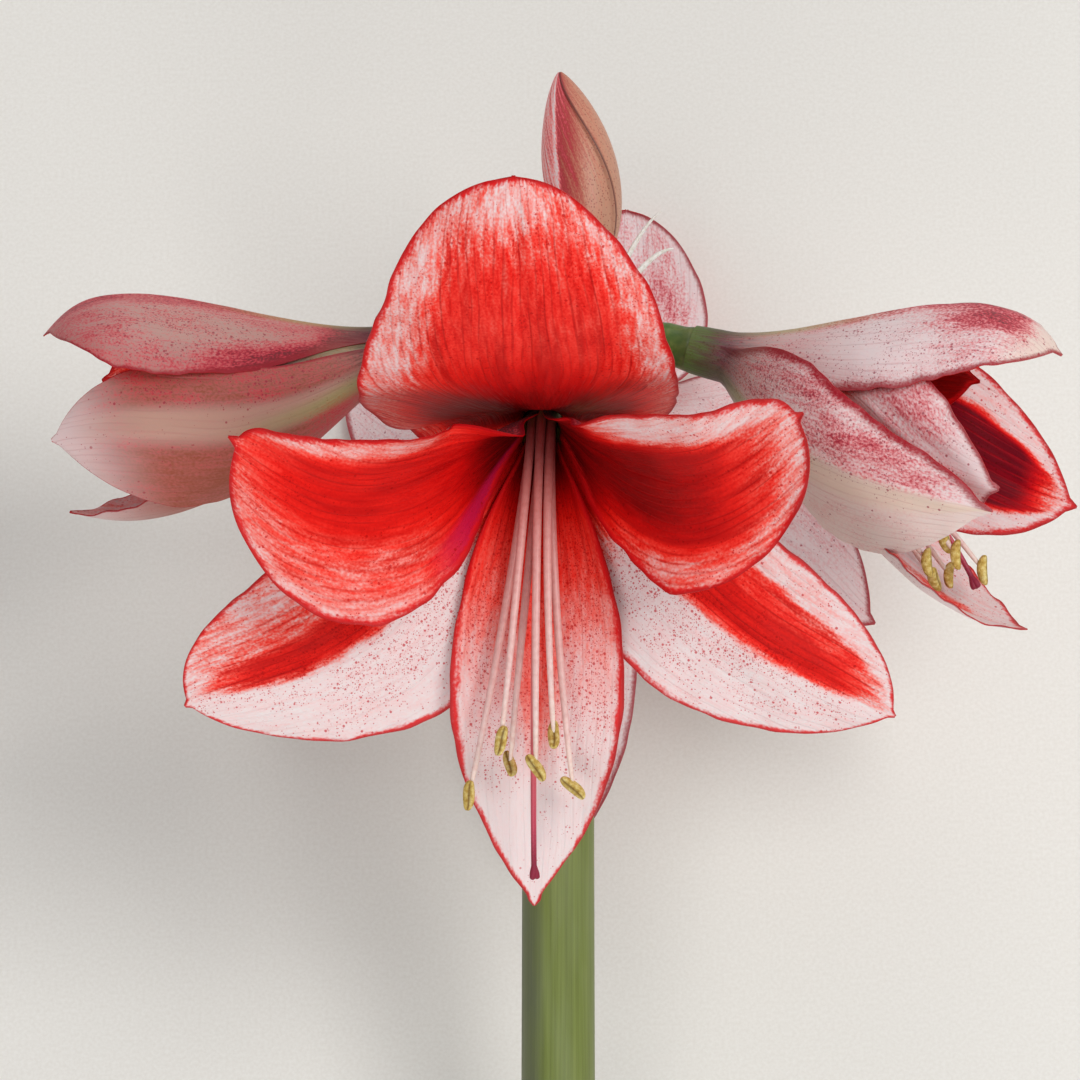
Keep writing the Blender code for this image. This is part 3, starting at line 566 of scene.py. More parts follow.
def add_blade(node, seed, to_plant, faces, own):
    """A thin blade: a grid laid on its surface, marked with its tints, with two faces and a thin rim."""
    tepal = {**TEPAL_USUAL, **own}
    bpy.ops.mesh.primitive_grid_add(x_subdivisions=TEPAL_COLUMNS, y_subdivisions=TEPAL_ROWS, size=2.0)
    blade = bpy.context.object
    blade.name = node + "_blade"
    flat = points_of(blade)
    column = np.rint((1.0 - flat[:, 0]) * TEPAL_COLUMNS / 2.0).astype(int)
    row = np.rint((flat[:, 1] + 1.0) * TEPAL_ROWS / 2.0).astype(int)
    # The rows stand closer together towards the tip.
    along = 1.0 - (1.0 - np.linspace(0.0, 1.0, TEPAL_ROWS + 1)) ** 1.35
    across = np.linspace(-1.0, 1.0, TEPAL_COLUMNS + 1)
    surface, span, at, narrow, wide, way = laid_on(tepal, along, across, seed)
    place_points(blade, to_plant(surface[row, column]))

    # The veins fan out from the foot, and in the outer half of the blade they run nearly parallel.
    gathered = (0.85 - 0.5 * smooth_step((way - 0.2) / 0.5))[:, None]
    vein = span * narrow.max() / (gathered * narrow[:, None] + (1.0 - gathered) * narrow.max())
    # The outline is drawn with three points to a row, on both sides.
    outline_at = np.interp(np.arange(3 * len(at) - 2) / 3.0, np.arange(len(at)), at)
    outline = np.vstack([
        np.stack([np.interp(outline_at, at, wide[:, 0] * -1.0), outline_at], -1),
        np.stack([np.interp(outline_at, at, wide[:, -1]), outline_at], -1),
    ])
    outline = outline[outline[:, 1] > TUBE]
    here = np.stack([span[row, column], at[row]], -1)
    to_edge = np.sqrt(((here[:, None, :] - outline[None, :, :]) ** 2).sum(-1).min(1))
    seeds = np.full(len(flat), 17.0 * seed)
    mark(blade, "grain", np.stack([vein[row, column], at[row], seeds], -1))
    mark(blade, "span", span[row, column])
    bare = np.clip(tepal["bare_side"] * across[column], 0.0, 1.0)
    margin = np.interp(way[row], (0.15, 0.55, 1.0), np.broadcast_to(tepal["margin"], 3))
    mark(blade, "edge", to_edge / margin + 4.0 * bare)
    for tint in ("red", "calm", "rose", "blush", "cream", "mauve", "specks"):
        mark(blade, tint, washed(tepal[tint], way, across)[row, column])

    # The blade is thickest in its middle and thins towards the edge, in ten steps.
    body = blade.vertex_groups.new(name="body")
    fullness = smooth_step(to_edge / EDGE_FADE)
    for step in range(11):
        here = np.nonzero(np.rint(fullness * 10.0) == step)[0]
        body.add(here.tolist(), step / 10.0, "REPLACE")
    thicken = blade.modifiers.new("thickness", "SOLIDIFY")
    thicken.thickness = TEPAL_THICKNESS * MM
    thicken.offset = 0.0
    thicken.vertex_group = "body"
    thicken.thickness_vertex_group = TEPAL_EDGE_SHARE
    thicken.material_offset = 1
    for face in faces:
        blade.data.materials.append(face)
    bpy.ops.object.modifier_apply(modifier="thickness")
    # What would dip below the table rests on it as a small flat spot.
    points = points_of(blade)
    points[:, 2] = np.maximum(points[:, 2], 0.0)
    blade.data.vertices.foreach_set("co", points.ravel())
    blade.data.update()
    bpy.ops.object.shade_smooth_by_angle(angle=math.radians(50.0))
    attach(blade, "root")
    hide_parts(node)


def add_tepal(node, seed, form, **own):
    """A tepal of the flower that its name begins with: inner or outer in form, with its own values."""
    flower = node.split("_")[0]

    def in_flower(points):
        return in_plant(flower, points)

    add_blade(node, seed, in_flower, (tepal_face, tepal_back), {**form, **own})


# Patterns that both faces of a tepal share: streaks of sap and long bands along the veins, soft clouds,
# grains of up to a millimetre, thin veins 2.4 mm apart that wander and fade in and out, and specks of
# uneven size.
VEIN_STEP = 2.4


def grown_patterns(add):
    """The outputs of the patterns by name. The sizes that a noise takes are in millimetres."""
    grain = add("Attribute grain", output="Vector")
    speckled = add("Attribute specks", output="Fac")

    def noise_along(across_mm, along_mm, detail, low, high):
        """Noise stretched along the veins, spread so that it mostly runs from -0.5 to 0.5."""
        place = add("VectorMath MULTIPLY", grain, (1 / across_mm, 1 / along_mm, 1.0))
        noise = add("TexNoise", place, Scale=1.0, Detail=detail)
        return add("MapRange", noise, low, high, -0.5, 0.5)

    found = {"grain": grain, "streaks": noise_along(1.7, 8.0, 1.0, 0.32, 0.68)}
    found["clouds"] = noise_along(9.0, 20.0, 2.0, 0.3, 0.7)
    found["grains"] = noise_along(0.75, 1.0, 1.0, 0.32, 0.68)
    found["bands"] = noise_along(3.6, 48.0, 1.0, 0.35, 0.65)
    wander = noise_along(13.0, 45.0, 1.0, 0.2, 0.8)
    across = add("SeparateXYZ", grain)
    turns = add("Math MULTIPLY_ADD", across, 2.0 * math.pi / VEIN_STEP, add("Math MULTIPLY", wander, 9.0))
    crest = add("Math SINE", turns)
    lines = add("MapRange SMOOTHSTEP", crest, 0.55, 1.0)
    fading = add("Math MULTIPLY_ADD", noise_along(2.4, 26.0, 2.0, 0.34, 0.66), 1.3, 0.55, use_clamp=True)
    found["veins"] = add("Math MULTIPLY", lines, fading)
    place = add("TexCoord", output="Object")
    clustered = add("Math MULTIPLY_ADD", found["clouds"], 1.7, 0.9)
    share = add("Math MULTIPLY", clustered, speckled)
    found["specks"] = 0.0
    for cell_mm, cell_share in ((0.55, 0.6), (1.05, 0.45)):
        speck_place = add("VectorMath SCALE", place, Scale=1 / (cell_mm * MM))
        cells = add("TexVoronoi", speck_place, Scale=1.0)
        chances = add("SeparateXYZ", cells.node.outputs["Color"])
        small = add("Math POWER", chances, 2.0)
        size = add("Math MULTIPLY_ADD", small, 0.3, 0.16)
        inside = add("Math SUBTRACT", size, cells)
        spots = add("MapRange", inside, -0.05, 0.1)
        # A cell has a speck only where its own chance is below the share that the blade is marked with.
        kept = add("Math MULTIPLY_ADD", share, cell_share,
                   add("Math MULTIPLY", chances.node.outputs["Y"], -1.0))
        kept = add("MapRange", kept, 0.0, 0.05)
        shown = add("Math MULTIPLY", spots, kept)
        found["specks"] = add("Math MAXIMUM", shown, found["specks"])
    return found


def weighted_sum(add, *pairs):
    """Adds node outputs, each times its weight."""
    total = 0.0
    for output, weight in pairs:
        total = add("Math MULTIPLY_ADD", output, weight, total)
    return total


# Inner face of a fresh tepal: white tissue that fills with scarlet sap. The sap runs in streaks along the
# veins and ends in grains at its border, so that white streaks are left inside the margin; it darkens to
# crimson in the throat, and deeper still there as painted shade of the hollow throat; the veins show as
# thin darker lines, and fine red specks are strewn over it.
add, skin, tepal_face = new_material("fresh_tepal_inner_face")
pattern = grown_patterns(add)
red, calm, rose, edge = [add("Attribute " + name, output="Fac") for name in ("red", "calm", "rose", "edge")]
from_foot = add("SeparateXYZ", pattern["grain"], output="Y")
push = weighted_sum(add, (pattern["streaks"], 0.4), (pattern["clouds"], 0.2), (pattern["grains"], 0.3))
# The streaks and grains are strongest where the sap ends, and nearly gone where the tissue is all white.
stirred = add("ValToRGB", add("Math DIVIDE", red, 1.5),
              stops=[(0.0, "#585858"), (0.2, "#D0D0D0"), (0.45, "#FFFFFF"), (0.68, "#909090"),
                     (1.0, "#606060")])
stirred = add("Math MULTIPLY", stirred, add("Math SUBTRACT", 1.0, calm))
sap = add("Math MULTIPLY_ADD", push, stirred, red)
sap = add("Math DIVIDE", sap, 1.5)
# The darkest stops, near black-red where the sap is strongest by the throat, are partly painted shade.
tissue = add("ValToRGB", sap, stops=[(0.0, "#E9DDDB"), (0.1, "#EACFCD"), (0.19, "#EDB6B2"),
                                     (0.3, "#F0877E"), (0.42, "#F2564A"), (0.53, "#F2352A"),
                                     (0.64, "#E41A12"), (0.76, "#C20808"), (0.88, "#8E0305"),
                                     (1.0, "#560204")])
vein_depth = add("MapRange", sap, 0.16, 0.5, 0.06, 0.62)
lively = add("Math MULTIPLY_ADD", calm, -1.3, 1.1, use_clamp=True)
vein_cover = add("Math MULTIPLY", pattern["veins"], vein_depth)
vein_cover = add("Math MULTIPLY", vein_cover, lively)
veined = add("MixRGB", vein_cover, tissue, "#A80608")
band_depth = add("MapRange", sap, 0.3, 0.6, 0.0, 0.9)
band_cover = add("Math MULTIPLY", pattern["bands"], band_depth, use_clamp=True)
banded = add("MixRGB", band_cover, veined, "#A40206")
rosy = add("MixRGB", rose, banded, "#BC1446")
speck_cover = add("Math MULTIPLY", pattern["specks"], 0.85)
specked = add("MixRGB", speck_cover, rosy, "#D6555C", blend_type="MULTIPLY")
# The red margin: full at the edge, then feathered inwards, wider in some places than in others.
edge_push = weighted_sum(add, (edge, 1.0), (push, -1.1), (pattern["clouds"], 0.8))
rim_cover = add("MapRange SMOOTHSTEP", edge_push, 0.35, 1.35, 0.95, 0.0)
rim_colour = add("MapRange", edge, 0.05, 0.7)
rim_red = add("MixRGB", rim_colour, "#AC050E", "#DA161A")
rimmed = add("MixRGB", rim_cover, specked, rim_red)
foot_cover = add("MapRange SMOOTHSTEP", from_foot, 5.0, 12.0, 0.9, 0.0)
shown = add("MixRGB", foot_cover, rimmed, "#A3AE4E")
shine = add("MapRange", pattern["streaks"], -0.5, 0.5, 0.5, 0.4)
relief = weighted_sum(add, (pattern["streaks"], 0.35), (pattern["veins"], -0.5), (pattern["bands"], 0.4))
furrows = add("Bump", Strength=0.45, Distance=0.0004, Height=relief)
cells = add("Bump", Strength=0.2, Distance=0.00008, Height=pattern["grains"], Normal=furrows)
fill_inputs(skin, {"Base Color": shown, "Roughness": shine, "Normal": cells, "Specular IOR Level": 0.2,
                   "Specular Tint": (1.0, 0.45, 0.42, 1.0), "Subsurface Weight": 0.12,
                   "Subsurface Radius": (1.0, 0.3, 0.25), "Subsurface Scale": 0.0015})

# Back of a fresh tepal: pale pink-white and duller than the inner face, with a crimson blush, cream, a
# brown mauve and speckles where the blade is marked with them, a thin dark margin, and green towards the
# ovary. The brown mauve is partly the tepals' own tint and, on the shaded flower, partly painted shade with
# a painted brown cast of reflected light.
add, skin, tepal_back = new_material("fresh_tepal_back")
pattern = grown_patterns(add)
blush, cream, mauve, edge, span = [
    add("Attribute " + name, output="Fac") for name in ("blush", "cream", "mauve", "edge", "span")
]
from_foot = add("SeparateXYZ", pattern["grain"], output="Y")
creamed = add("MixRGB", cream, "#EAD6D5", "#E6CDB8")
# Brown mauve: partly own tint, and on the shaded flower partly painted shade and painted reflected brown
# light.
mauve_and_shade_mixed = add("MixRGB", mauve, creamed, "#9A4E38")
line_cover = add("Math MULTIPLY", pattern["veins"], 0.22)
lined = add("MixRGB", line_cover, mauve_and_shade_mixed, "#B0686C")
push = weighted_sum(add, (pattern["streaks"], 0.2), (pattern["clouds"], 0.3), (pattern["grains"], 0.36))
stir = add("MapRange", blush, 0.0, 0.3)
blushed = add("Math MULTIPLY_ADD", push, stir, blush)
blush_cover = add("MapRange SMOOTHSTEP", blushed, 0.02, 0.85, 0.0, 0.95)
blush_colour = add("ValToRGB", blushed, stops=[(0.1, "#E58E92"), (0.5, "#DA4854"), (0.8, "#BA1A34"),
                                               (1.0, "#72081A")])
flushed = add("MixRGB", blush_cover, lined, blush_colour)
speck_cover = add("Math MULTIPLY", pattern["specks"], 0.75)
specked = add("MixRGB", speck_cover, flushed, "#9C1C36")
edge_push = weighted_sum(add, (edge, 1.0), (push, -0.6))
rim_cover = add("MapRange SMOOTHSTEP", edge_push, 0.2, 1.2, 0.9, 0.0)
rimmed = add("MixRGB", rim_cover, specked, "#9A041C")
# The midrib stays green from the ovary to about the middle of the blade, and so does the whole foot.
off_rib = add("Math ABSOLUTE", span)
rib_side = add("MapRange SMOOTHSTEP", off_rib, 0.6, 4.5, 0.6, 0.0)
rib_way = add("MapRange SMOOTHSTEP", from_foot, 26.0, 72.0, 1.0, 0.0)
rib_cover = add("Math MULTIPLY", rib_side, rib_way)
ribbed = add("MixRGB", rib_cover, rimmed, "#9AA05A")
foot_at = add("Math MULTIPLY_ADD", push, 8.0, from_foot)
foot_cover = add("MapRange SMOOTHSTEP", foot_at, 5.0, 34.0, 0.92, 0.0)
foot_tone = add("Math MULTIPLY_ADD", pattern["streaks"], 0.26, add("Math MULTIPLY", from_foot, 1 / 31.0))
foot_green = add("ValToRGB", foot_tone, stops=[(0.0, "#48641E"), (0.2, "#464426"), (0.4, "#42202A"),
                                               (0.62, "#6E524C"), (1.0, "#94806E")])
shown = add("MixRGB", foot_cover, ribbed, foot_green)
shine = add("MapRange", pattern["streaks"], -0.5, 0.5, 0.56, 0.44)
relief = weighted_sum(add, (pattern["veins"], -0.4), (pattern["bands"], 0.4), (pattern["streaks"], 0.2))
furrows = add("Bump", Strength=0.4, Distance=0.0004, Height=relief)
cells = add("Bump", Strength=0.2, Distance=0.00008, Height=pattern["grains"], Normal=furrows)
fill_inputs(skin, {"Base Color": shown, "Roughness": shine, "Normal": cells, "Specular IOR Level": 0.3,
                   "Subsurface Weight": 0.15, "Subsurface Radius": (1.0, 0.3, 0.25),
                   "Subsurface Scale": 0.0015})

add_tepal(
    "front_sepal_top", 1, OUTER, azimuth=90, reach=108, fore=62, half=43, close=0.5, grow=0.45,
    end=105, cup=-14, cup_tip=-14, wave=1.0, swing_tip=1.0, margin=1.7, beak=0.6, shoulder=36.0,
    groove=1.2, lean=0.07, skew=(0.06, 0.0), curls=((1.0, 0.22, 0.16, 4.0),),
    red=[0.5, (0.55, 0.94, 0.3, 0.96, 0.25, 0.32), (-0.94, -0.6, 0.45, 0.96, 0.25, 0.32),
         (-0.76, 0.66, -0.2, 0.88, 0.35, 0.86), (-0.45, 0.5, 0.9, 1.02, 0.14, 0.32),
         (-0.85, 0.85, -0.2, 0.4, 0.4, 1.04), (-0.4, 0.4, -0.2, 0.46, 0.3, 1.24),
         (-0.7, 0.7, -0.2, 0.3, 0.25, 1.4)], calm=[(-0.6, 0.6, 0.0, 0.7, 0.4, 0.3)], specks=[0.4])
add_tepal(
    "front_petal_left", 2, INNER, azimuth=150, reach=86, fore=68, half=34, close=0.42, grow=0.55,
    end=85, cup=14, wave=1.0, lean=0.2, skew=(0.0, 0.1), swing=16, swing_tip=8, margin=1.9, beak=3.0,
    trim=(-1.0, 0.5, 0.5), curls=((-1.0, 0.46, 0.06, -4.5), (-1.0, 0.33, 0.05, 5.0)),
    red=[0.6, (-0.9, -0.62, 0.5, 0.96, 0.2, 0.4), (0.84, 1.1, 0.4, 1.1, 0.2, 0.38),
         (-0.5, 0.4, -0.2, 0.94, 0.35, 1.04), (0.46, 0.3, 1.15), (0.3, 0.2, 1.5)],
    calm=[(-1.3, 1.3, 0.0, 1.0, 0.1, 0.3)], rose=[(0.7, 1.3, 0.08, 0.46, 0.14, 0.75)], specks=[0.4],
    blush=PLAIN_BACK + [(-1.3, -0.5, 0.1, 0.5, 0.1, 0.9)])
add_tepal(
    "front_petal_right", 3, INNER, azimuth=30, reach=84, fore=68, half=32, close=0.42, grow=0.55,
    end=80, cup=16, cup_tip=4, wave=1.5, lean=-0.05, swing=-14, swing_tip=-2, margin=2.0, beak=2.0,
    trim=(1.0, 0.5, 0.45), curls=((1.0, 0.34, 0.07, -4.0),),
    red=[0.5, (0.42, 0.96, 0.46, 1.0, 0.25, 0.24), (-1.3, 1.3, 0.9, 1.2, 0.16, 0.3),
         (-0.7, 0.4, -0.2, 0.84, 0.34, 1.1), (0.42, 0.3, 1.2), (-0.5, 0.35, 0.2, 0.64, 0.32, 1.36),
         (0.3, 0.2, 1.5)], calm=[(-1.3, 1.3, 0.0, 1.0, 0.1, 0.2)], specks=[0.4],
    blush=PLAIN_BACK + [(0.5, 1.3, 0.1, 0.5, 0.1, 0.9)])
add_tepal(
    "front_sepal_left", 4, OUTER, azimuth=210, reach=117, fore=54, half=33, close=0.62, grow=0.8,
    cup=4, cup_tip=-6, swing=10, swing_tip=1, beak=1.5, margin=(1.8, 1.8, 0.8),
    red=[0.1, (-1.3, 0.0, -0.2, 0.94, 0.22, 0.62), (-1.1, -0.6, 0.6, 0.96, 0.25, 0.34),
         (-0.3, 0.06, -0.2, 0.9, 0.18, 1.02), (0.3, 0.2, 1.2)],
    specks=[0.3, (-0.1, 0.6, 0.2, 0.85, 0.6, 2.2)])
add_tepal(
    "front_sepal_right", 5, OUTER, azimuth=330, reach=119, fore=54, half=29, close=0.7, grow=1.0,
    cup=4, cup_tip=-6, swing=-4, swing_tip=-2, beak=1.5, margin=(1.8, 1.8, 0.8),
    red=[0.1, (-0.04, 0.66, -0.2, 0.94, 0.2, 0.8), (0.62, 0.94, 0.3, 0.96, 0.16, 0.2),
         (-0.08, 0.34, -0.2, 0.92, 0.2, 1.04), (0.3, 0.2, 1.2)],
    specks=[0.3, (-0.65, 0.1, 0.25, 0.8, 0.5, 2.6)])
add_tepal(
    "front_petal_bottom", 6, INNER, azimuth=270, reach=122, fore=60, half=25, close=0.95, grow=1.2,
    end=80, cup=16, cup_tip=4, wave=1.5, swing_tip=-1, beak=2.0, margin=(1.2, 2.4, 0.8),
    red=[0.06, (0.56, 0.5, 0.46), (-0.2, 0.2, -0.2, 0.66, 0.3, 0.62), (0.34, 0.35, 0.95),
         (0.18, 0.2, 1.5)], calm=[(-1.3, 1.3, 0.0, 1.3, 0.1, 0.5)],
    specks=[0.2, (-0.8, -0.04, 0.2, 0.66, 0.3, 3.2), (0.04, 0.8, 0.2, 0.66, 0.3, 3.2)])


# The rear flower's tepals.
# The flower on the far side is as wide open as the front one and coloured alike. It faces the table, and
# the head of the stem rests on the rims of two of its petals.
add_tepal(
    "rear_sepal_top", 11, OUTER, azimuth=90, reach=98, fore=46, half=36, lean=-0.18, close=0.5,
    grow=0.7, end=105, cup=-8, cup_tip=-14, swing=6, swing_tip=6, beak=0.6, margin=1.6,
    red=[0.28, (-0.8, 0.8, -0.2, 0.88, 0.30, 0.92), (0.34, 0.22, 1.05), (0.2, 0.16, 1.3)],
    specks=[0.12], blush=[0.08, (-0.75, 0.8, 0.35, 1.0, 0.45, 0.44)])
add_tepal(
    "rear_petal_left", 12, INNER, azimuth=150, reach=94, fore=71, half=28, close=0.5, grow=0.8, cup=14,
    swing=6, margin=2.0,
    red=[0.32, (-0.78, 0.66, -0.2, 1.0, 0.30, 0.95), (0.36, 0.2, 1.1), (0.2, 0.16, 1.35)],
    specks=[0.35])
add_tepal(
    "rear_petal_right", 13, INNER, azimuth=30, reach=90, fore=64, half=28, close=0.5, grow=0.8, cup=14,
    swing=-6, margin=2.0,
    red=[0.32, (-0.66, 0.78, -0.2, 0.96, 0.30, 0.95), (0.36, 0.2, 1.1), (0.2, 0.16, 1.35)],
    specks=[0.35])
add_tepal(
    "rear_sepal_left", 14, OUTER, azimuth=210, reach=101, fore=54, half=28, close=0.7, grow=1.0, cup=4,
    cup_tip=-6, swing=-11, swing_tip=-3,
    red=[0.06, (-1.3, 0.06, -0.2, 0.9, 0.22, 0.62), (-0.3, 0.1, -0.2, 0.86, 0.2, 1.0),
         (0.3, 0.2, 1.1)], specks=[0.35, (0.0, 0.7, 0.2, 0.8, 0.3, 0.8)])
add_tepal(
    "rear_sepal_right", 15, OUTER, azimuth=330, reach=108, fore=52, half=28, close=0.7, grow=1.0,
    cup=4, cup_tip=-6, swing=4,
    red=[0.06, (-0.06, 1.3, -0.2, 0.9, 0.22, 0.62), (-0.1, 0.3, -0.2, 0.86, 0.2, 1.0),
         (0.3, 0.2, 1.1)], specks=[0.35, (-0.7, 0.0, 0.2, 0.8, 0.3, 0.8)])
add_tepal(
    "rear_petal_bottom", 16, INNER, azimuth=272, reach=116, fore=60, half=18.5, close=0.9, grow=1.3,
    end=80, cup=16, cup_tip=4, swing_tip=-3,
    red=[0.04, (0.42, 0.35, 0.85), (-0.3, 0.3, -0.2, 0.6, 0.25, 0.75), (0.2, 0.2, 1.2)],
    specks=[0.3, (-0.7, 0.7, 0.3, 0.75, 0.3, 0.9)])


# The left flower's tepals.
# The half-open flower on the shaded side shows the backs of its tepals: a brown mauve-beige that is partly
# their own colour and partly painted shade with a painted brown cast of reflected light, with a red flush
# on the upper sepal, pale parallel streaks on the near one and dark crimson margins.
HALF_OPEN = {"pull_foot": 36, "pull_tip": 36, "lead": 30}
INSIDE_RED = [0.55, (-0.7, 0.7, -0.2, 0.9, 0.4, 1.1), (0.3, 0.2, 1.35)]
add_tepal(
    "left_sepal_top", 21, OUTER, azimuth=80, reach=31, fore=94, half=33, lead=12, pull_foot=40,
    pull_tip=30, end=-35, cup=28, cup_tip=16, lean=-0.54, skew=(-0.45, 0.1), margin=(3.2, 1.6, 0.9),
    red=INSIDE_RED, specks=[0.4, (-0.9, 0.1, 0.3, 0.8, 0.3, 1.1)],
    mauve=[0.8, (-0.8, 0.0, 0.3, 0.85, 0.4, 0.55)], cream=[(-0.8, 0.2, 0.2, 0.8, 0.4, 0.5)],
    blush=[0.5, (-0.3, 1.3, 0.35, 1.1, 0.5, 0.7), (-0.9, -0.2, 0.3, 0.8, 0.4, 0.28),
           (-1.3, -0.74, -0.2, 0.46, 0.34, 1.1), (-1.3, 0.3, -0.2, 0.22, 0.14, 1.1)])
add_tepal(
    "left_petal_near", 22, INNER, azimuth=20, reach=20, fore=66, half=18, end=0, cup=10, cup_tip=10,
    pull_foot=24, pull_tip=24, lead=22,
    red=INSIDE_RED, specks=[0.4], mauve=[0.6], blush=[0.3])
add_tepal(
    "left_petal_far", 23, INNER, azimuth=140, reach=20, fore=82, half=19, end=0, cup=10, cup_tip=10,
    pull_foot=30, pull_tip=28, lead=10,
    red=INSIDE_RED, specks=[0.4], mauve=[0.6], blush=[0.25])
add_tepal(
    "left_sepal_near", 24, OUTER, azimuth=320, reach=28, fore=97, half=28, close=0.8, end=-18, cup=18,
    cup_tip=12, swing_tip=34, lean=-0.16, margin=(1.2, 0.25, 0.2), beak=1.5, **HALF_OPEN,
    red=INSIDE_RED, specks=[0.15, (0.4, 1.1, 0.1, 0.8, 0.3, 0.8)],
    mauve=[1.0, (-0.1, 0.4, 0.15, 0.85, 0.25, 0.6), (-1.3, 1.3, 0.88, 1.3, 0.3, 0.2)],
    cream=[(-0.1, 0.4, 0.1, 0.85, 0.25, 0.9)],
    blush=[(0.9, 0.2, 0.24), (0.45, 1.2, 0.2, 0.8, 0.3, 0.36), (-0.1, 0.4, 0.1, 0.85, 0.25, 0.1),
           (-1.2, -0.3, 0.3, 0.8, 0.3, 0.18), (-1.3, 0.0, -0.2, 0.35, 0.2, 0.5)])
add_tepal(
    "left_sepal_far", 25, OUTER, azimuth=200, reach=28, fore=96, half=24, close=0.7, end=-18, cup=10,
    cup_tip=10, swing=-6, swing_tip=-10, margin=1.8, **HALF_OPEN,
    red=INSIDE_RED, specks=[0.3], mauve=[0.5], blush=[0.2])
add_tepal(
    "left_petal_bottom", 26, INNER, azimuth=260, reach=25, fore=100, half=21, close=0.7, grow=1.3,
    end=-26, cup=10, cup_tip=10, margin=0.5, **HALF_OPEN,
    red=[0.24, (0.5, 0.3, 1.1)], specks=[0.25], mauve=[0.95, (-1.3, 1.3, 0.85, 1.3, 0.3, 0.3)],
    blush=[0.12])


# The right flower's tepals.
# The open flower that is seen from the side: the backs of two sepals and a petal towards the camera, pale
# with crimson speckles, and past them the crimson inside of the far sepal, darkened with painted shade.
add_tepal(
    "right_sepal_top", 31, OUTER, azimuth=108, reach=27, fore=96, half=29, end=-40, cup=30, cup_tip=10,
    lean=0.5, skew=(0.2, -0.4), pull_foot=38, pull_tip=33, lead=11, margin=(2.6, 3.0, 1.4),
    red=INSIDE_RED, specks=[0.8], mauve=[(0.4, 0.3, 0.4)], cream=[(-1.3, 1.3, 0.9, 1.3, 0.15, 0.6)],
    blush=[0.3, (-1.3, 0.45, 0.42, 1.0, 0.35, 0.8), (0.1, 0.9, 0.3, 0.68, 0.3, 0.12),
           (-1.3, 1.3, 0.93, 1.2, 0.1, 0.1)])
add_tepal(
    "right_petal_near", 32, INNER, azimuth=160, reach=37, fore=91, half=23, end=5, cup=10, cup_tip=6,
    lead=8, swing=6, swing_tip=48, lean=0.24, skew=(0.0, -0.1), margin=1.6,
    red=INSIDE_RED, specks=[0.4],
    blush=[0.12, (-0.2, 0.9, 0.4, 0.9, 0.4, 0.36), (-1.3, -0.2, 0.2, 0.8, 0.3, 0.6)])
# Its inner face is its own red deepened all over with painted shade, as it lies deep in the flower.
add_tepal(
    "right_petal_far", 33, INNER, azimuth=40, reach=17, fore=70, half=18, end=0, cup=10, cup_tip=6,
    lead=12, swing=-6, margin=1.6,
    red=[1.35], specks=[0.5], blush=[0.3])
add_tepal(
    "right_sepal_near", 34, OUTER, azimuth=220, reach=43, fore=91, half=29, close=0.9, lead=46,
    pull_foot=42, end=0, cup=2, cup_tip=4, swing=-2, swing_tip=-6, lean=0.1, margin=3.0,
    skew=(-0.12, 0.3), bare_side=1.0,
    red=INSIDE_RED, specks=[0.15, (-1.0, 0.0, -0.2, 0.8, 0.3, 2.0)],
    mauve=[(-1.3, -0.3, -0.2, 0.3, 0.3, 0.3)],
    cream=[(0.0, 1.3, -0.2, 1.3, 0.2, 0.35), (0.0, 0.3, 0.3, 1.2, 0.2, 0.8)],
    blush=[(-1.3, -0.05, -0.2, 0.92, 0.25, 0.4), (-0.7, -0.02, 0.5, 0.9, 0.3, 0.58),
           (-1.3, -0.9, 0.2, 1.0, 0.1, 0.6), (0.2, 1.3, 0.3, 0.9, 0.4, 0.18)])
# The strong red and the touch of rose on its inner face are partly its own crimson and partly painted
# shade.
add_tepal(
    "right_sepal_far", 35, OUTER, azimuth=340, reach=44, fore=103, half=27, close=0.7, lead=46,
    pull_foot=42, end=0, cup=2, cup_tip=4, swing=9, swing_tip=-6, margin=1.8,
    red=[0.16, (-0.5, 0.56, -0.2, 0.92, 0.18, 1.62), (0.3, 0.2, 1.4)],
    rose=[(-0.5, 0.56, -0.2, 0.92, 0.18, 0.12)], specks=[0.5], blush=[0.25])
add_tepal(
    "right_petal_bottom", 36, INNER, azimuth=280, reach=58, fore=102, half=24, close=0.7, grow=1.8,
    lead=28, pull_foot=36, end=-5, pull_tip=36, cup=10, cup_tip=6, margin=1.4,
    red=[0.14, (0.45, 0.3, 1.1), (-0.12, 0.12, 0.3, 0.9, 0.16, 0.6)], specks=[0.4], blush=[0.1])


# The stamens.
# Six tapering filaments, white with a pink flush, rise from a low ring in each throat and sweep forward.
# Each carries one anther on its tip like a see-saw: two grooved halves, split open and coated with pollen.
RING_RADIUS = 3.1
RING_WALL = 1.6
RING_HEIGHT = 5.0
FILAMENT_RISE = 38.0
FILAMENT_FOOT, FILAMENT_MIDDLE, FILAMENT_TIP = 1.4, 1.15, 0.75
FILAMENT_POINTS = 40
ANTHER_LENGTH = 9.0
ANTHER_RADIUS = 1.75

# Filament: smooth watery tissue, pinkish cream, flushed salmon towards the foot and faintly mottled.
add, skin, filament_material = new_material("fresh_filament")
share = add("Attribute share", output="Fac")
grain = add("Attribute grain", output="Vector")
mottle_place = add("VectorMath SCALE", grain, Scale=1 / 1.6)
mottles = add("TexNoise", mottle_place, Scale=1.0, Detail=3.0)
flushed = add("ValToRGB", share, stops=[(0.0, "#A83C40"), (0.3, "#D2817A"), (0.6, "#E2AFA8"),
                                        (0.85, "#EBCDC6"), (1.0, "#ECD9CA")])
shown = add("MixRGB", 0.3, flushed, add("ValToRGB", mottles, stops=[(0.35, "#DCA09C"), (0.6, "#FFFFFF")]),
            blend_type="MULTIPLY")
shine = add("MapRange", mottles, 0.3, 0.7, 0.34, 0.48)
uneven = add("Bump", Strength=0.25, Distance=0.0001, Height=mottles)
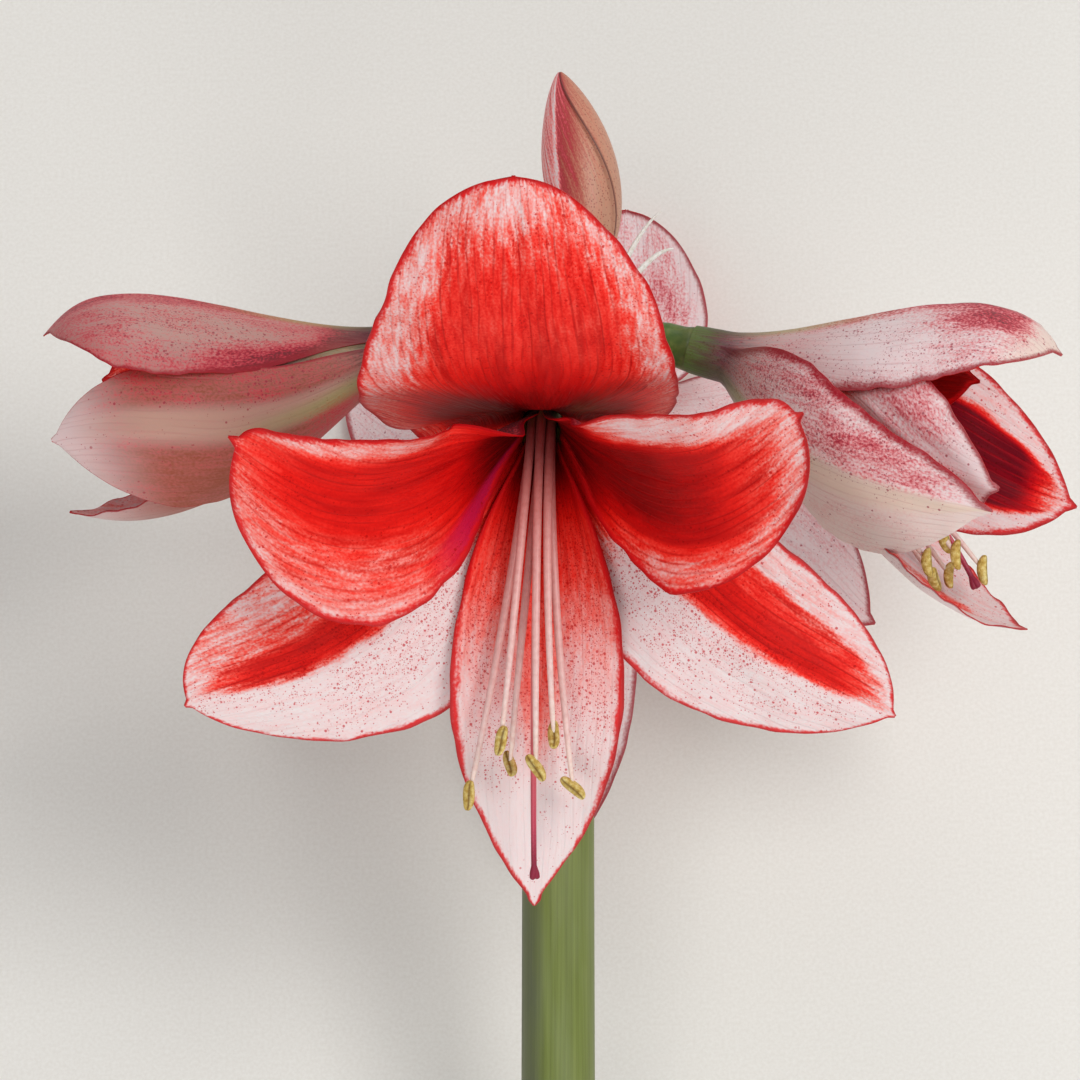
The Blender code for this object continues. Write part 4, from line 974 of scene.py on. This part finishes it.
fill_inputs(skin, {"Base Color": shown, "Roughness": shine, "Normal": uneven, "Subsurface Weight": 0.15,
                   "Subsurface Radius": (1.0, 0.4, 0.35), "Subsurface Scale": 0.0015})

# Anther: dry sacs coated with pollen, a dusty ochre yellow with grains of 0.4 mm, which are coarser than
# real ones so that they show, and browner in the grooves.
add, skin, anther_material = new_material("pollen_coated_anther")
place = add("TexCoord", output="Object")
dust_place = add("VectorMath SCALE", place, Scale=1 / 0.0004)
dust = add("TexVoronoi", dust_place, Scale=1.0)
clump_place = add("VectorMath SCALE", place, Scale=1 / 0.0013)
clumps = add("TexNoise", clump_place, Scale=1.0, Detail=3.0)
groove = add("Attribute share", output="Fac")
pollen = add("ValToRGB", clumps, stops=[(0.3, "#AE8A3C"), (0.48, "#D0B260"), (0.68, "#E8D690")])
shaded = add("MixRGB", groove, pollen, "#6E4A22")
dull = add("MapRange", clumps, 0.0, 1.0, 0.75, 0.95)
dusty = add("Bump", Strength=0.9, Distance=0.00025, Height=dust, invert=True)
fill_inputs(skin, {"Base Color": shaded, "Roughness": dull, "Normal": dusty, "Specular IOR Level": 0.2})


def anther_on(tip, tilt, pitch, place):
    """One anther: a ball drawn out to a bean, bowed, and grooved on both sides between its two halves."""
    bpy.ops.mesh.primitive_uv_sphere_add(segments=20, ring_count=14, radius=1.0)
    anther = bpy.context.object
    ball = points_of(anther)
    turn = np.arctan2(ball[:, 1], ball[:, 0])
    full = np.sqrt(np.clip(1.0 - ball[:, 2] ** 2, 0.0, 1.0)) ** 0.75
    grooved = np.exp(-((np.cos(turn) / 0.3) ** 2)) * np.clip(full * 1.6, 0.0, 1.0)
    radius = ANTHER_RADIUS * full * (1.0 - 0.34 * grooved)
    bean = np.stack([radius * np.cos(turn), radius * np.sin(turn), ball[:, 2] * ANTHER_LENGTH / 2.0], -1)
    bean[:, 1] += 0.9 * ball[:, 2] ** 2 - 0.3
    bean[:, 0] += 0.35 * np.sin(2.2 * ball[:, 2])
    turned = Matrix.Rotation(math.radians(tilt), 3, "Z") @ Matrix.Rotation(math.radians(pitch), 3, "X")
    place_points(anther, place(bean @ np.array(turned).T + np.array(tip)))
    mark(anther, "share", grooved * 0.85)
    mark(anther, "grain", bean)
    anther.data.materials.append(anther_material)
    return anther


def join_all(name, pieces):
    bpy.ops.object.select_all(action="DESELECT")
    for piece in pieces:
        piece.select_set(True)
    bpy.context.view_layer.objects.active = pieces[0]
    bpy.ops.object.join()
    joined = bpy.context.object
    joined.name = name
    bpy.ops.object.shade_smooth_by_angle(angle=math.radians(60.0))
    return joined


def add_stamens(flower, anthers, last_pull=34.0):
    def place(points):
        return in_plant(flower, points)

    bpy.ops.mesh.primitive_torus_add(
        major_radius=RING_RADIUS, minor_radius=RING_WALL / 2.0, major_segments=40, minor_segments=12)
    ring = bpy.context.object
    points = points_of(ring)
    points[:, 2] = GAP + RING_HEIGHT * (0.5 + points[:, 2] / RING_WALL)
    place_points(ring, place(points))
    mark(ring, "share", np.zeros(len(points)))
    mark(ring, "grain", points)
    ring.data.materials.append(filament_material)
    pieces = [ring]
    for azimuth, tip, droop, tilt, pitch in anthers:
        turn = math.radians(azimuth)
        foot = np.array([RING_RADIUS * math.cos(turn), RING_RADIUS * math.sin(turn), 1.5])
        end = np.array(tip)
        heading = np.array([0.012 * end[0], -math.cos(math.radians(droop)), math.sin(math.radians(droop))])
        heading /= np.linalg.norm(heading)
        rise = np.array([0.0, 0.0, FILAMENT_RISE + 1.2 * foot[1]])
        path = bezier(foot, foot + rise, end - last_pull * heading, end, FILAMENT_POINTS)
        radii = np.interp(np.linspace(0.0, 1.0, FILAMENT_POINTS), [0.0, 0.6, 0.95, 1.0],
                          [FILAMENT_FOOT, FILAMENT_MIDDLE, FILAMENT_TIP, 0.4])
        filament, points, nearest = drawn_out(flower + "_filament", path, radii, 4)
        place_points(filament, place(points))
        filament.data.materials.append(filament_material)
        pieces += [filament, anther_on(tip, tilt, pitch, place)]
    stamens = join_all(flower + "_stamen_ring", pieces)
    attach(stamens, "root")
    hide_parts(flower + "_stamens")


# Where each filament stands on the ring, where its tip is in the flower's frame, how far the tip rises
# from straight down, and the anther's turn and pitch on it, in millimetres and degrees.
OPEN_STAMENS = [
    (150, (-10.0, -65.0, 78.0), 20, -20, 75),
    (270, (-8.0, -76.0, 73.0), 16, 20, 25),
    (210, (-20.0, -85.0, 75.0), 18, -12, 75),
    (90, (0.0, -71.0, 83.0), 24, 28, 75),
    (30, (5.0, -64.0, 77.0), 20, -10, 30),
    (330, (10.0, -83.0, 74.0), 18, 45, 75),
]
add_stamens("front", OPEN_STAMENS)
# The rear flower's stamens keep closer to its middle on one side, clear of the tepals there.
add_stamens("rear", [
    (azimuth, (max(tip[0], -8.0), *tip[1:]), *rest) for azimuth, tip, *rest in OPEN_STAMENS
])
add_stamens("right", [
    (210, (-10.0, -44.0, 86.3), 50, 10, 75),
    (270, (-5.0, -48.5, 88.6), 50, 40, 75),
    (90, (-4.0, -40.0, 93.0), 50, -10, 75),
    (330, (7.0, -43.0, 99.9), 50, 0, 75),
    (150, (-3.0, -36.7, 88.6), 50, 30, 75),
    (30, (10.0, -47.0, 90.0), 50, -40, 75),
], last_pull=30.0)
add_stamens("left", [
    (150, (-8.0, -9.0, 76.0), 75, 20, 75),
    (270, (-1.0, -18.0, 74.0), 75, 60, 75),
    (210, (-8.5, -15.0, 79.0), 75, 15, 75),
    (90, (0.0, -5.0, 80.0), 75, -25, 75),
    (30, (8.0, -9.0, 77.0), 75, 10, 75),
    (330, (6.0, -15.0, 73.0), 75, -30, 75),
], last_pull=24.0)


# The pistils.
# One style stands on each ovary among the filaments, a little longer than they are: pale pink low down,
# rose towards its tip, and ending there in three short crimson lobes that have not yet spread.
STYLE_FOOT, STYLE_TIP = 1.1, 0.8
STYLE_POINTS, LOBE_POINTS = 48, 14

# Style and stigma: smooth satin tissue from pink to crimson, and on the lobes a velvety dark tip.
add, skin, style_material = new_material("fresh_style")
share = add("Attribute share", output="Fac")
grain = add("Attribute grain", output="Vector")
velvet_place = add("VectorMath SCALE", grain, Scale=1 / 0.45)
velvet = add("TexNoise", velvet_place, Scale=1.0, Detail=2.0)
uneven = add("Math MULTIPLY_ADD", velvet, 0.12, -0.06)
reddened = add("Math ADD", share, uneven)
colour = add("ValToRGB", reddened, stops=[(0.0, "#C46A64"), (0.35, "#D8928A"), (0.68, "#D0686A"),
                                          (0.9, "#BC3C54"), (0.98, "#8A1032")])
shine = add("MapRange", share, 0.9, 1.0, 0.35, 0.6)
downy = add("Bump", Strength=0.5, Distance=0.00015, Height=velvet)
fill_inputs(skin, {"Base Color": colour, "Roughness": shine, "Normal": downy, "Subsurface Weight": 0.12,
                   "Subsurface Radius": (1.0, 0.3, 0.3), "Subsurface Scale": 0.0012})

# Each style's tip in its flower's frame, how far the tip rises from straight down, and how far the style
# keeps straight at its foot and at its tip, in degrees and millimetres.
for flower, tip, droop, first_pull, last_pull in (
    ("front", (-1.3, -104.0, 84.0), 14, 48.0, 40.0),
    ("rear", (-1.0, -98.0, 84.0), 14, 48.0, 40.0),
    ("right", (3.5, -46.0, 98.0), 40, 40.0, 32.0),
    ("left", (0.0, -12.0, 90.0), 75, 40.0, 24.0),
):
    foot, end = np.array([0.0, 0.0, GAP]), np.array(tip)
    heading = np.array([0.0, -math.cos(math.radians(droop)), math.sin(math.radians(droop))])
    pulls = (foot + np.array([0.0, 0.0, first_pull]), end - last_pull * heading)
    path = bezier(foot, *pulls, end, STYLE_POINTS)
    radii = np.linspace(STYLE_FOOT, STYLE_TIP, STYLE_POINTS)
    style, points, nearest = drawn_out(flower + "_style", path, radii, 4)
    place_points(style, in_plant(flower, points))
    style.data.materials.append(style_material)
    pieces = [style]
    across = np.cross(heading, (1.0, 0.0, 0.0))
    across /= np.linalg.norm(across)
    for lobe_of_three in range(3):
        turn = 2.0 * math.pi * lobe_of_three / 3.0 + 0.5
        away = math.cos(turn) * across + math.sin(turn) * np.cross(heading, across)
        curl = [end + ahead * heading + aside * away
                for ahead, aside in ((-1.2, 0.0), (1.0, 0.4), (2.4, 0.9), (3.2, 0.7))]
        radii = np.interp(np.linspace(0.0, 1.0, LOBE_POINTS), [0.0, 0.5, 0.85, 1.0], [0.7, 1.0, 0.9, 0.45])
        lobe, points, nearest = drawn_out(flower + "_lobe", bezier(*curl, LOBE_POINTS), radii, 4)
        lobe.data.attributes["share"].data.foreach_set("value", np.full(len(points), 1.0))
        place_points(lobe, in_plant(flower, points))
        lobe.data.materials.append(style_material)
        pieces.append(lobe)
    pistil = join_all(flower + "_style_and_stigma", pieces)
    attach(pistil, "root")
    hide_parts(flower + "_pistil")


# The bud.
# Three sepals lap over each other round the unopened flower, each with one free edge that shows as a step.
# They are fleshy and satin, pink on one side, brownish red in the middle and tan on the other.
BUD_RADIUS = 16.0
BUD_GIRTH, BUD_LENGTH = 90.0, 62.0
BUD_ROWS = 90
BUD_COLUMNS = 120
LAP_STEP = 0.10
LAP_TWIST = 0.35
LAP_AT, LAP_WIDTH = 0.97, 0.03

# Bud scale: the back of a young sepal, with fine parallel veins, speckles and a thin dark line at its edge,
# partly the edge's own colour and partly painted shadow where it laps over the next sepal.
add, skin, bud_material = new_material("fresh_bud_scale")
grain = add("Attribute grain", output="Vector")
scale_tone = add("Attribute tone", output="Fac")
edge = add("Attribute edge", output="Fac")
place = add("TexCoord", output="Object")
streak_place = add("VectorMath MULTIPLY", grain, (1 / 1.2, 1 / 22.0, 1.0))
streaks = add("TexNoise", streak_place, Scale=1.0, Detail=3.0)
grit_place = add("VectorMath MULTIPLY", grain, (1 / 0.5, 1 / 0.9, 1.0))
grit = add("TexNoise", grit_place, Scale=1.0, Detail=2.0)
push = add("Math MULTIPLY_ADD", streaks, 0.7, -0.35)
push = add("Math MULTIPLY_ADD", grit, 0.5, push)
push = add("Math SUBTRACT", push, 0.25)
toned = add("Math ADD", scale_tone, push)
tone = add("ValToRGB", toned, stops=[(0.0, "#F2D8D6"), (0.16, "#FF908C"), (0.32, "#D0505A"),
                                     (0.48, "#AE3236"), (0.68, "#BC6A56"), (0.84, "#C88C72"),
                                     (1.0, "#BE8C72")])
speck_place = add("VectorMath SCALE", place, Scale=1 / 0.0009)
speck_cells = add("TexVoronoi", speck_place, Scale=1.0)
speck_cover = add("MapRange", speck_cells, 0.18, 0.34, 0.7, 0.0)
tan_share = add("MapRange", toned, 0.5, 0.9)
speck_cover = add("Math MULTIPLY", speck_cover, tan_share)
specked = add("MixRGB", speck_cover, tone, "#8E3A34")
# Dark line along each lap: partly the sepal edge's own colour, partly painted shadow of the overlap.
lap_line_and_shadow_cover = add("MapRange", edge, 0.2, 0.75, 0.9, 0.0)
shown = add("MixRGB", lap_line_and_shadow_cover, specked, "#5A2620")
shine = add("MapRange", streaks, 0.3, 0.7, 0.38, 0.52)
furrows = add("Bump", Strength=0.5, Distance=0.0003, Height=streaks)
fill_inputs(skin, {"Base Color": shown, "Roughness": shine, "Normal": furrows, "Specular IOR Level": 0.4,
                   "Subsurface Weight": 0.1, "Subsurface Radius": (1.0, 0.4, 0.3),
                   "Subsurface Scale": 0.0015})

bpy.ops.mesh.primitive_grid_add(x_subdivisions=BUD_COLUMNS, y_subdivisions=BUD_ROWS, size=2.0)
bud = bpy.context.object
bud.name = "bud_of_three_sepals"
flat = points_of(bud)
round_share = (flat[:, 0] + 1.0) / 2.0
share = 0.5 - 0.5 * np.cos(math.pi * (flat[:, 1] + 1.0) / 2.0)
side_way = np.cross(bud_way, (0.0, 0.0, 1.0))
side_way /= np.linalg.norm(side_way)
toward = np.cross(side_way, bud_way)
swell = 4.4 * (1.0 - share) ** 3 + BUD_RADIUS * 1.9 * share**0.75 * (1.0 - share) ** 0.8 + 0.5
# The lap runs round each third: the sepal starts flush under its neighbour and ends proud of the next one.
third = (round_share * 3.0) % 1.0
lap = np.where(round_share >= 1.0, 0.0, third)
lap = np.where(lap > LAP_AT, (1.0 - lap) / LAP_WIDTH, lap / LAP_AT)
proud = 0.93 + LAP_STEP * lap * np.clip(4.0 * share, 0.0, 1.0)
turn = 2.0 * math.pi * round_share + LAP_TWIST * share + 0.5 + 1.1 * share**2
bow = 2.1 * np.sin(math.pi * share)
centre = BUD_FOOT + share[:, None] * (BUD_TIP - BUD_FOOT) + bow[:, None] * side_way
spoke = np.cos(turn)[:, None] * side_way + np.sin(turn)[:, None] * toward
points = centre + (swell * proud)[:, None] * spoke
mark(bud, "grain", np.stack([round_share * BUD_GIRTH, share * BUD_LENGTH, np.full(len(share), 5.0)], -1))
mark(bud, "edge", np.abs(LAP_AT - third) * 2.0 * math.pi * np.maximum(swell, 1.0) / 3.0)
# Pink at the left, then a pale line, then brownish red that turns tan to the right and towards the foot.
sideways = spoke @ side_way
tone = np.interp(sideways, [-1.0, -0.72, -0.66, -0.61, -0.56, -0.2, 0.25, 1.0],
                 [0.16, 0.18, 0.0, 0.0, 0.44, 0.5, 0.8, 0.95])
mark(bud, "tone", tone + np.where(sideways > -0.58, 0.35 * (0.6 - share), 0.0))
place_points(bud, points)
bpy.ops.object.mode_set(mode="EDIT")
bpy.ops.mesh.select_all(action="SELECT")
bpy.ops.mesh.remove_doubles(threshold=0.00001)
bpy.ops.mesh.fill_holes(sides=0)
bpy.ops.mesh.normals_make_consistent(inside=False)
bpy.ops.object.mode_set(mode="OBJECT")
bpy.ops.object.shade_smooth_by_angle(angle=math.radians(40.0))
bud.data.materials.append(bud_material)
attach(bud, "root")
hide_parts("bud")


# The spathe bracts.
# Two dry papery bracts wrapped the young umbel and now hang back from its foot: thin, brown and pinkish,
# with raised parallel veins and ruffled edges that curl in.
add, skin, bract_material = new_material("dry_papery_bract")
grain = add("Attribute grain", output="Vector")
edge = add("Attribute edge", output="Fac")
rib_place = add("VectorMath MULTIPLY", grain, (1 / 0.9, 1 / 50.0, 1.0))
ribs = add("TexNoise", rib_place, Scale=1.0, Detail=2.0)
blotch_place = add("VectorMath MULTIPLY", grain, (1 / 5.0, 1 / 12.0, 1.0))
blotches = add("TexNoise", blotch_place, Scale=1.0, Detail=4.0)
paper = add("ValToRGB", blotches, stops=[(0.32, "#8A6B4A"), (0.5, "#B0906A"), (0.66, "#C9A894"),
                                         (0.8, "#B98A80")])
ribbed = add("MixRGB", 0.6, paper, add("ValToRGB", ribs, stops=[(0.38, "#8A6A54"), (0.56, "#FFFFFF")]),
             blend_type="MULTIPLY")
scorched = add("MapRange", edge, 0.1, 0.9, 0.6, 0.0)
shown = add("MixRGB", scorched, ribbed, "#6A4A34")
dull = add("MapRange", blotches, 0.0, 1.0, 0.6, 0.85)
raised = add("Bump", Strength=0.8, Distance=0.0004, Height=ribs)
fill_inputs(skin, {"Base Color": shown, "Roughness": dull, "Normal": raised, "Specular IOR Level": 0.25})

BRACT_FOOT = 12.8
for node, turn, seed in (("spathe_bract_front", -40.0, 41), ("spathe_bract_rear", 140.0, 42)):
    hang = Matrix.Rotation(math.radians(turn), 3, "Y") @ Matrix.Rotation(math.radians(90.0), 3, "X")

    def hung(points, hang=np.array(hang)):
        return np.asarray(points) @ hang.T + np.array([0.0, HEAD_CENTRE + 2.0, 0.0])

    add_blade(node, seed, hung, (bract_material, bract_material), dict(
        foot=BRACT_FOOT, foot_half=5.5, relax=0.0, ruffle=1.2, azimuth=90, reach=24, fore=56, half=9,
        lead=8, pull_foot=18, pull_tip=20, end=6, close=0.8, cup=20, cup_tip=30, buckle=1.0, groove=0.2,
        margin=1.2, blush=()))


# The bracteoles.
# Thin white papery threads that grew between the stalks in the young umbel, flattened and twisted a little.
# Two of them stand out beside the bud.
THREAD_FOOT, THREAD_MIDDLE, THREAD_TIP = 1.2, 1.3, 0.3
THREAD_POINTS = 36
add, skin, thread_material = new_material("dry_white_bracteole")
grain = add("Attribute grain", output="Vector")
share = add("Attribute share", output="Fac")
fibre_place = add("VectorMath SCALE", grain, Scale=1 / 1.2)
fibres = add("TexNoise", fibre_place, Scale=1.0, Detail=4.0)
colour = add("ValToRGB", fibres, stops=[(0.3, "#D8D0C0"), (0.6, "#F1EEE8")])
greened = add("MapRange", share, 0.0, 0.3, 0.6, 0.0)
shown = add("MixRGB", greened, colour, "#A3B070")
dull = add("MapRange", fibres, 0.0, 1.0, 0.55, 0.8)
rough = add("Bump", Strength=0.5, Distance=0.0002, Height=fibres)
fill_inputs(skin, {"Base Color": shown, "Roughness": dull, "Normal": rough})

for node, away, middle, tip in (
    ("bracteole_upper", (0.62, 0.66, -0.42), (21.2, 31.9, -15.5), (31.2, 39.7, -17.0)),
    ("bracteole_lower", (0.62, 0.50, -0.60), (24.0, 27.7, -21.0), (35.2, 28.8, -24.0)),
):
    away = np.array(away) / np.linalg.norm(away)
    start = np.array([0.0, HEAD_CENTRE, 0.0]) + (HEAD_RADIUS + GAP) * away
    path = bezier(start, start + STALK_PULL * away, middle, tip, THREAD_POINTS)
    radii = np.interp(np.linspace(0.0, 1.0, THREAD_POINTS), [0.0, 0.7, 1.0],
                      [THREAD_FOOT, THREAD_MIDDLE, THREAD_TIP])
    thread, points, nearest = drawn_out(node + "_thread", path, radii, 3)
    # The round thread is pressed flat, and its flat side turns slowly as it goes.
    off = points - path[nearest]
    run = nearest / (THREAD_POINTS - 1)
    flat_way = np.stack([np.sin(2.0 * run), np.zeros(len(run)), np.cos(2.0 * run)], -1)
    points = points - 0.55 * (off * flat_way).sum(-1)[:, None] * flat_way
    place_points(thread, points)
    bpy.ops.object.shade_smooth_by_angle(angle=math.radians(60.0))
    thread.data.materials.append(thread_material)
    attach(thread, "root")
    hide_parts(node)


# The camera, the table and the light.
# The camera looks down on the lying stem as the photograph looks at the standing one, over a plain pale
# table. A broad soft light comes from the upper right, a weaker one from the side of the cut end, and a
# faint one from beyond the bud.
CAMERA_AWAY = 1.5
CAMERA_SIDE = -0.0054
CAMERA_UP = -0.060
SEEN_WIDTH = 0.324
bpy.ops.object.camera_add()
camera = bpy.context.object
camera.matrix_world = lying @ Matrix.Translation((CAMERA_SIDE, CAMERA_UP, CAMERA_AWAY))
camera.data.sensor_width = 36.0
camera.data.lens = 36.0 * CAMERA_AWAY / SEEN_WIDTH
bpy.context.scene.camera = camera

add, skin, table_material = new_material("pale_matte_table")
place = add("TexCoord", output="Object")
fibres = add("TexNoise", place, Scale=900.0, Detail=3.0)
paper = add("ValToRGB", fibres, stops=[(0.3, "#E4E0D8"), (0.7, "#EBE8E1")])
fill_inputs(skin, {"Base Color": paper, "Roughness": 0.85})
bpy.ops.mesh.primitive_plane_add(size=12.0)
table = bpy.context.object
table.name = "table_top"
table.data.materials.append(table_material)

world = bpy.data.worlds.new("soft_room")
bpy.context.scene.world = world
world.use_nodes = True
world.node_tree.nodes["Background"].inputs["Color"].default_value = hex_colour("#F2F4F8")
world.node_tree.nodes["Background"].inputs["Strength"].default_value = 0.5
for name, place, size, power in (
    ("key", (0.7, 0.35, 1.2), 0.6, 10.0),
    ("fill", (-0.25, -1.1, 1.1), 0.7, 7.0),
    ("top", (0.1, 1.3, 0.5), 0.6, 2.5),
):
    bpy.ops.object.light_add(type="AREA")
    light = bpy.context.object
    light.name = name + "_light"
    light.data.size = size
    light.data.energy = power
    at = lying @ Vector(place)
    light.rotation_mode = "QUATERNION"
    light.rotation_quaternion = (at - lying.translation).to_track_quat("Z", "Y")
    light.location = at
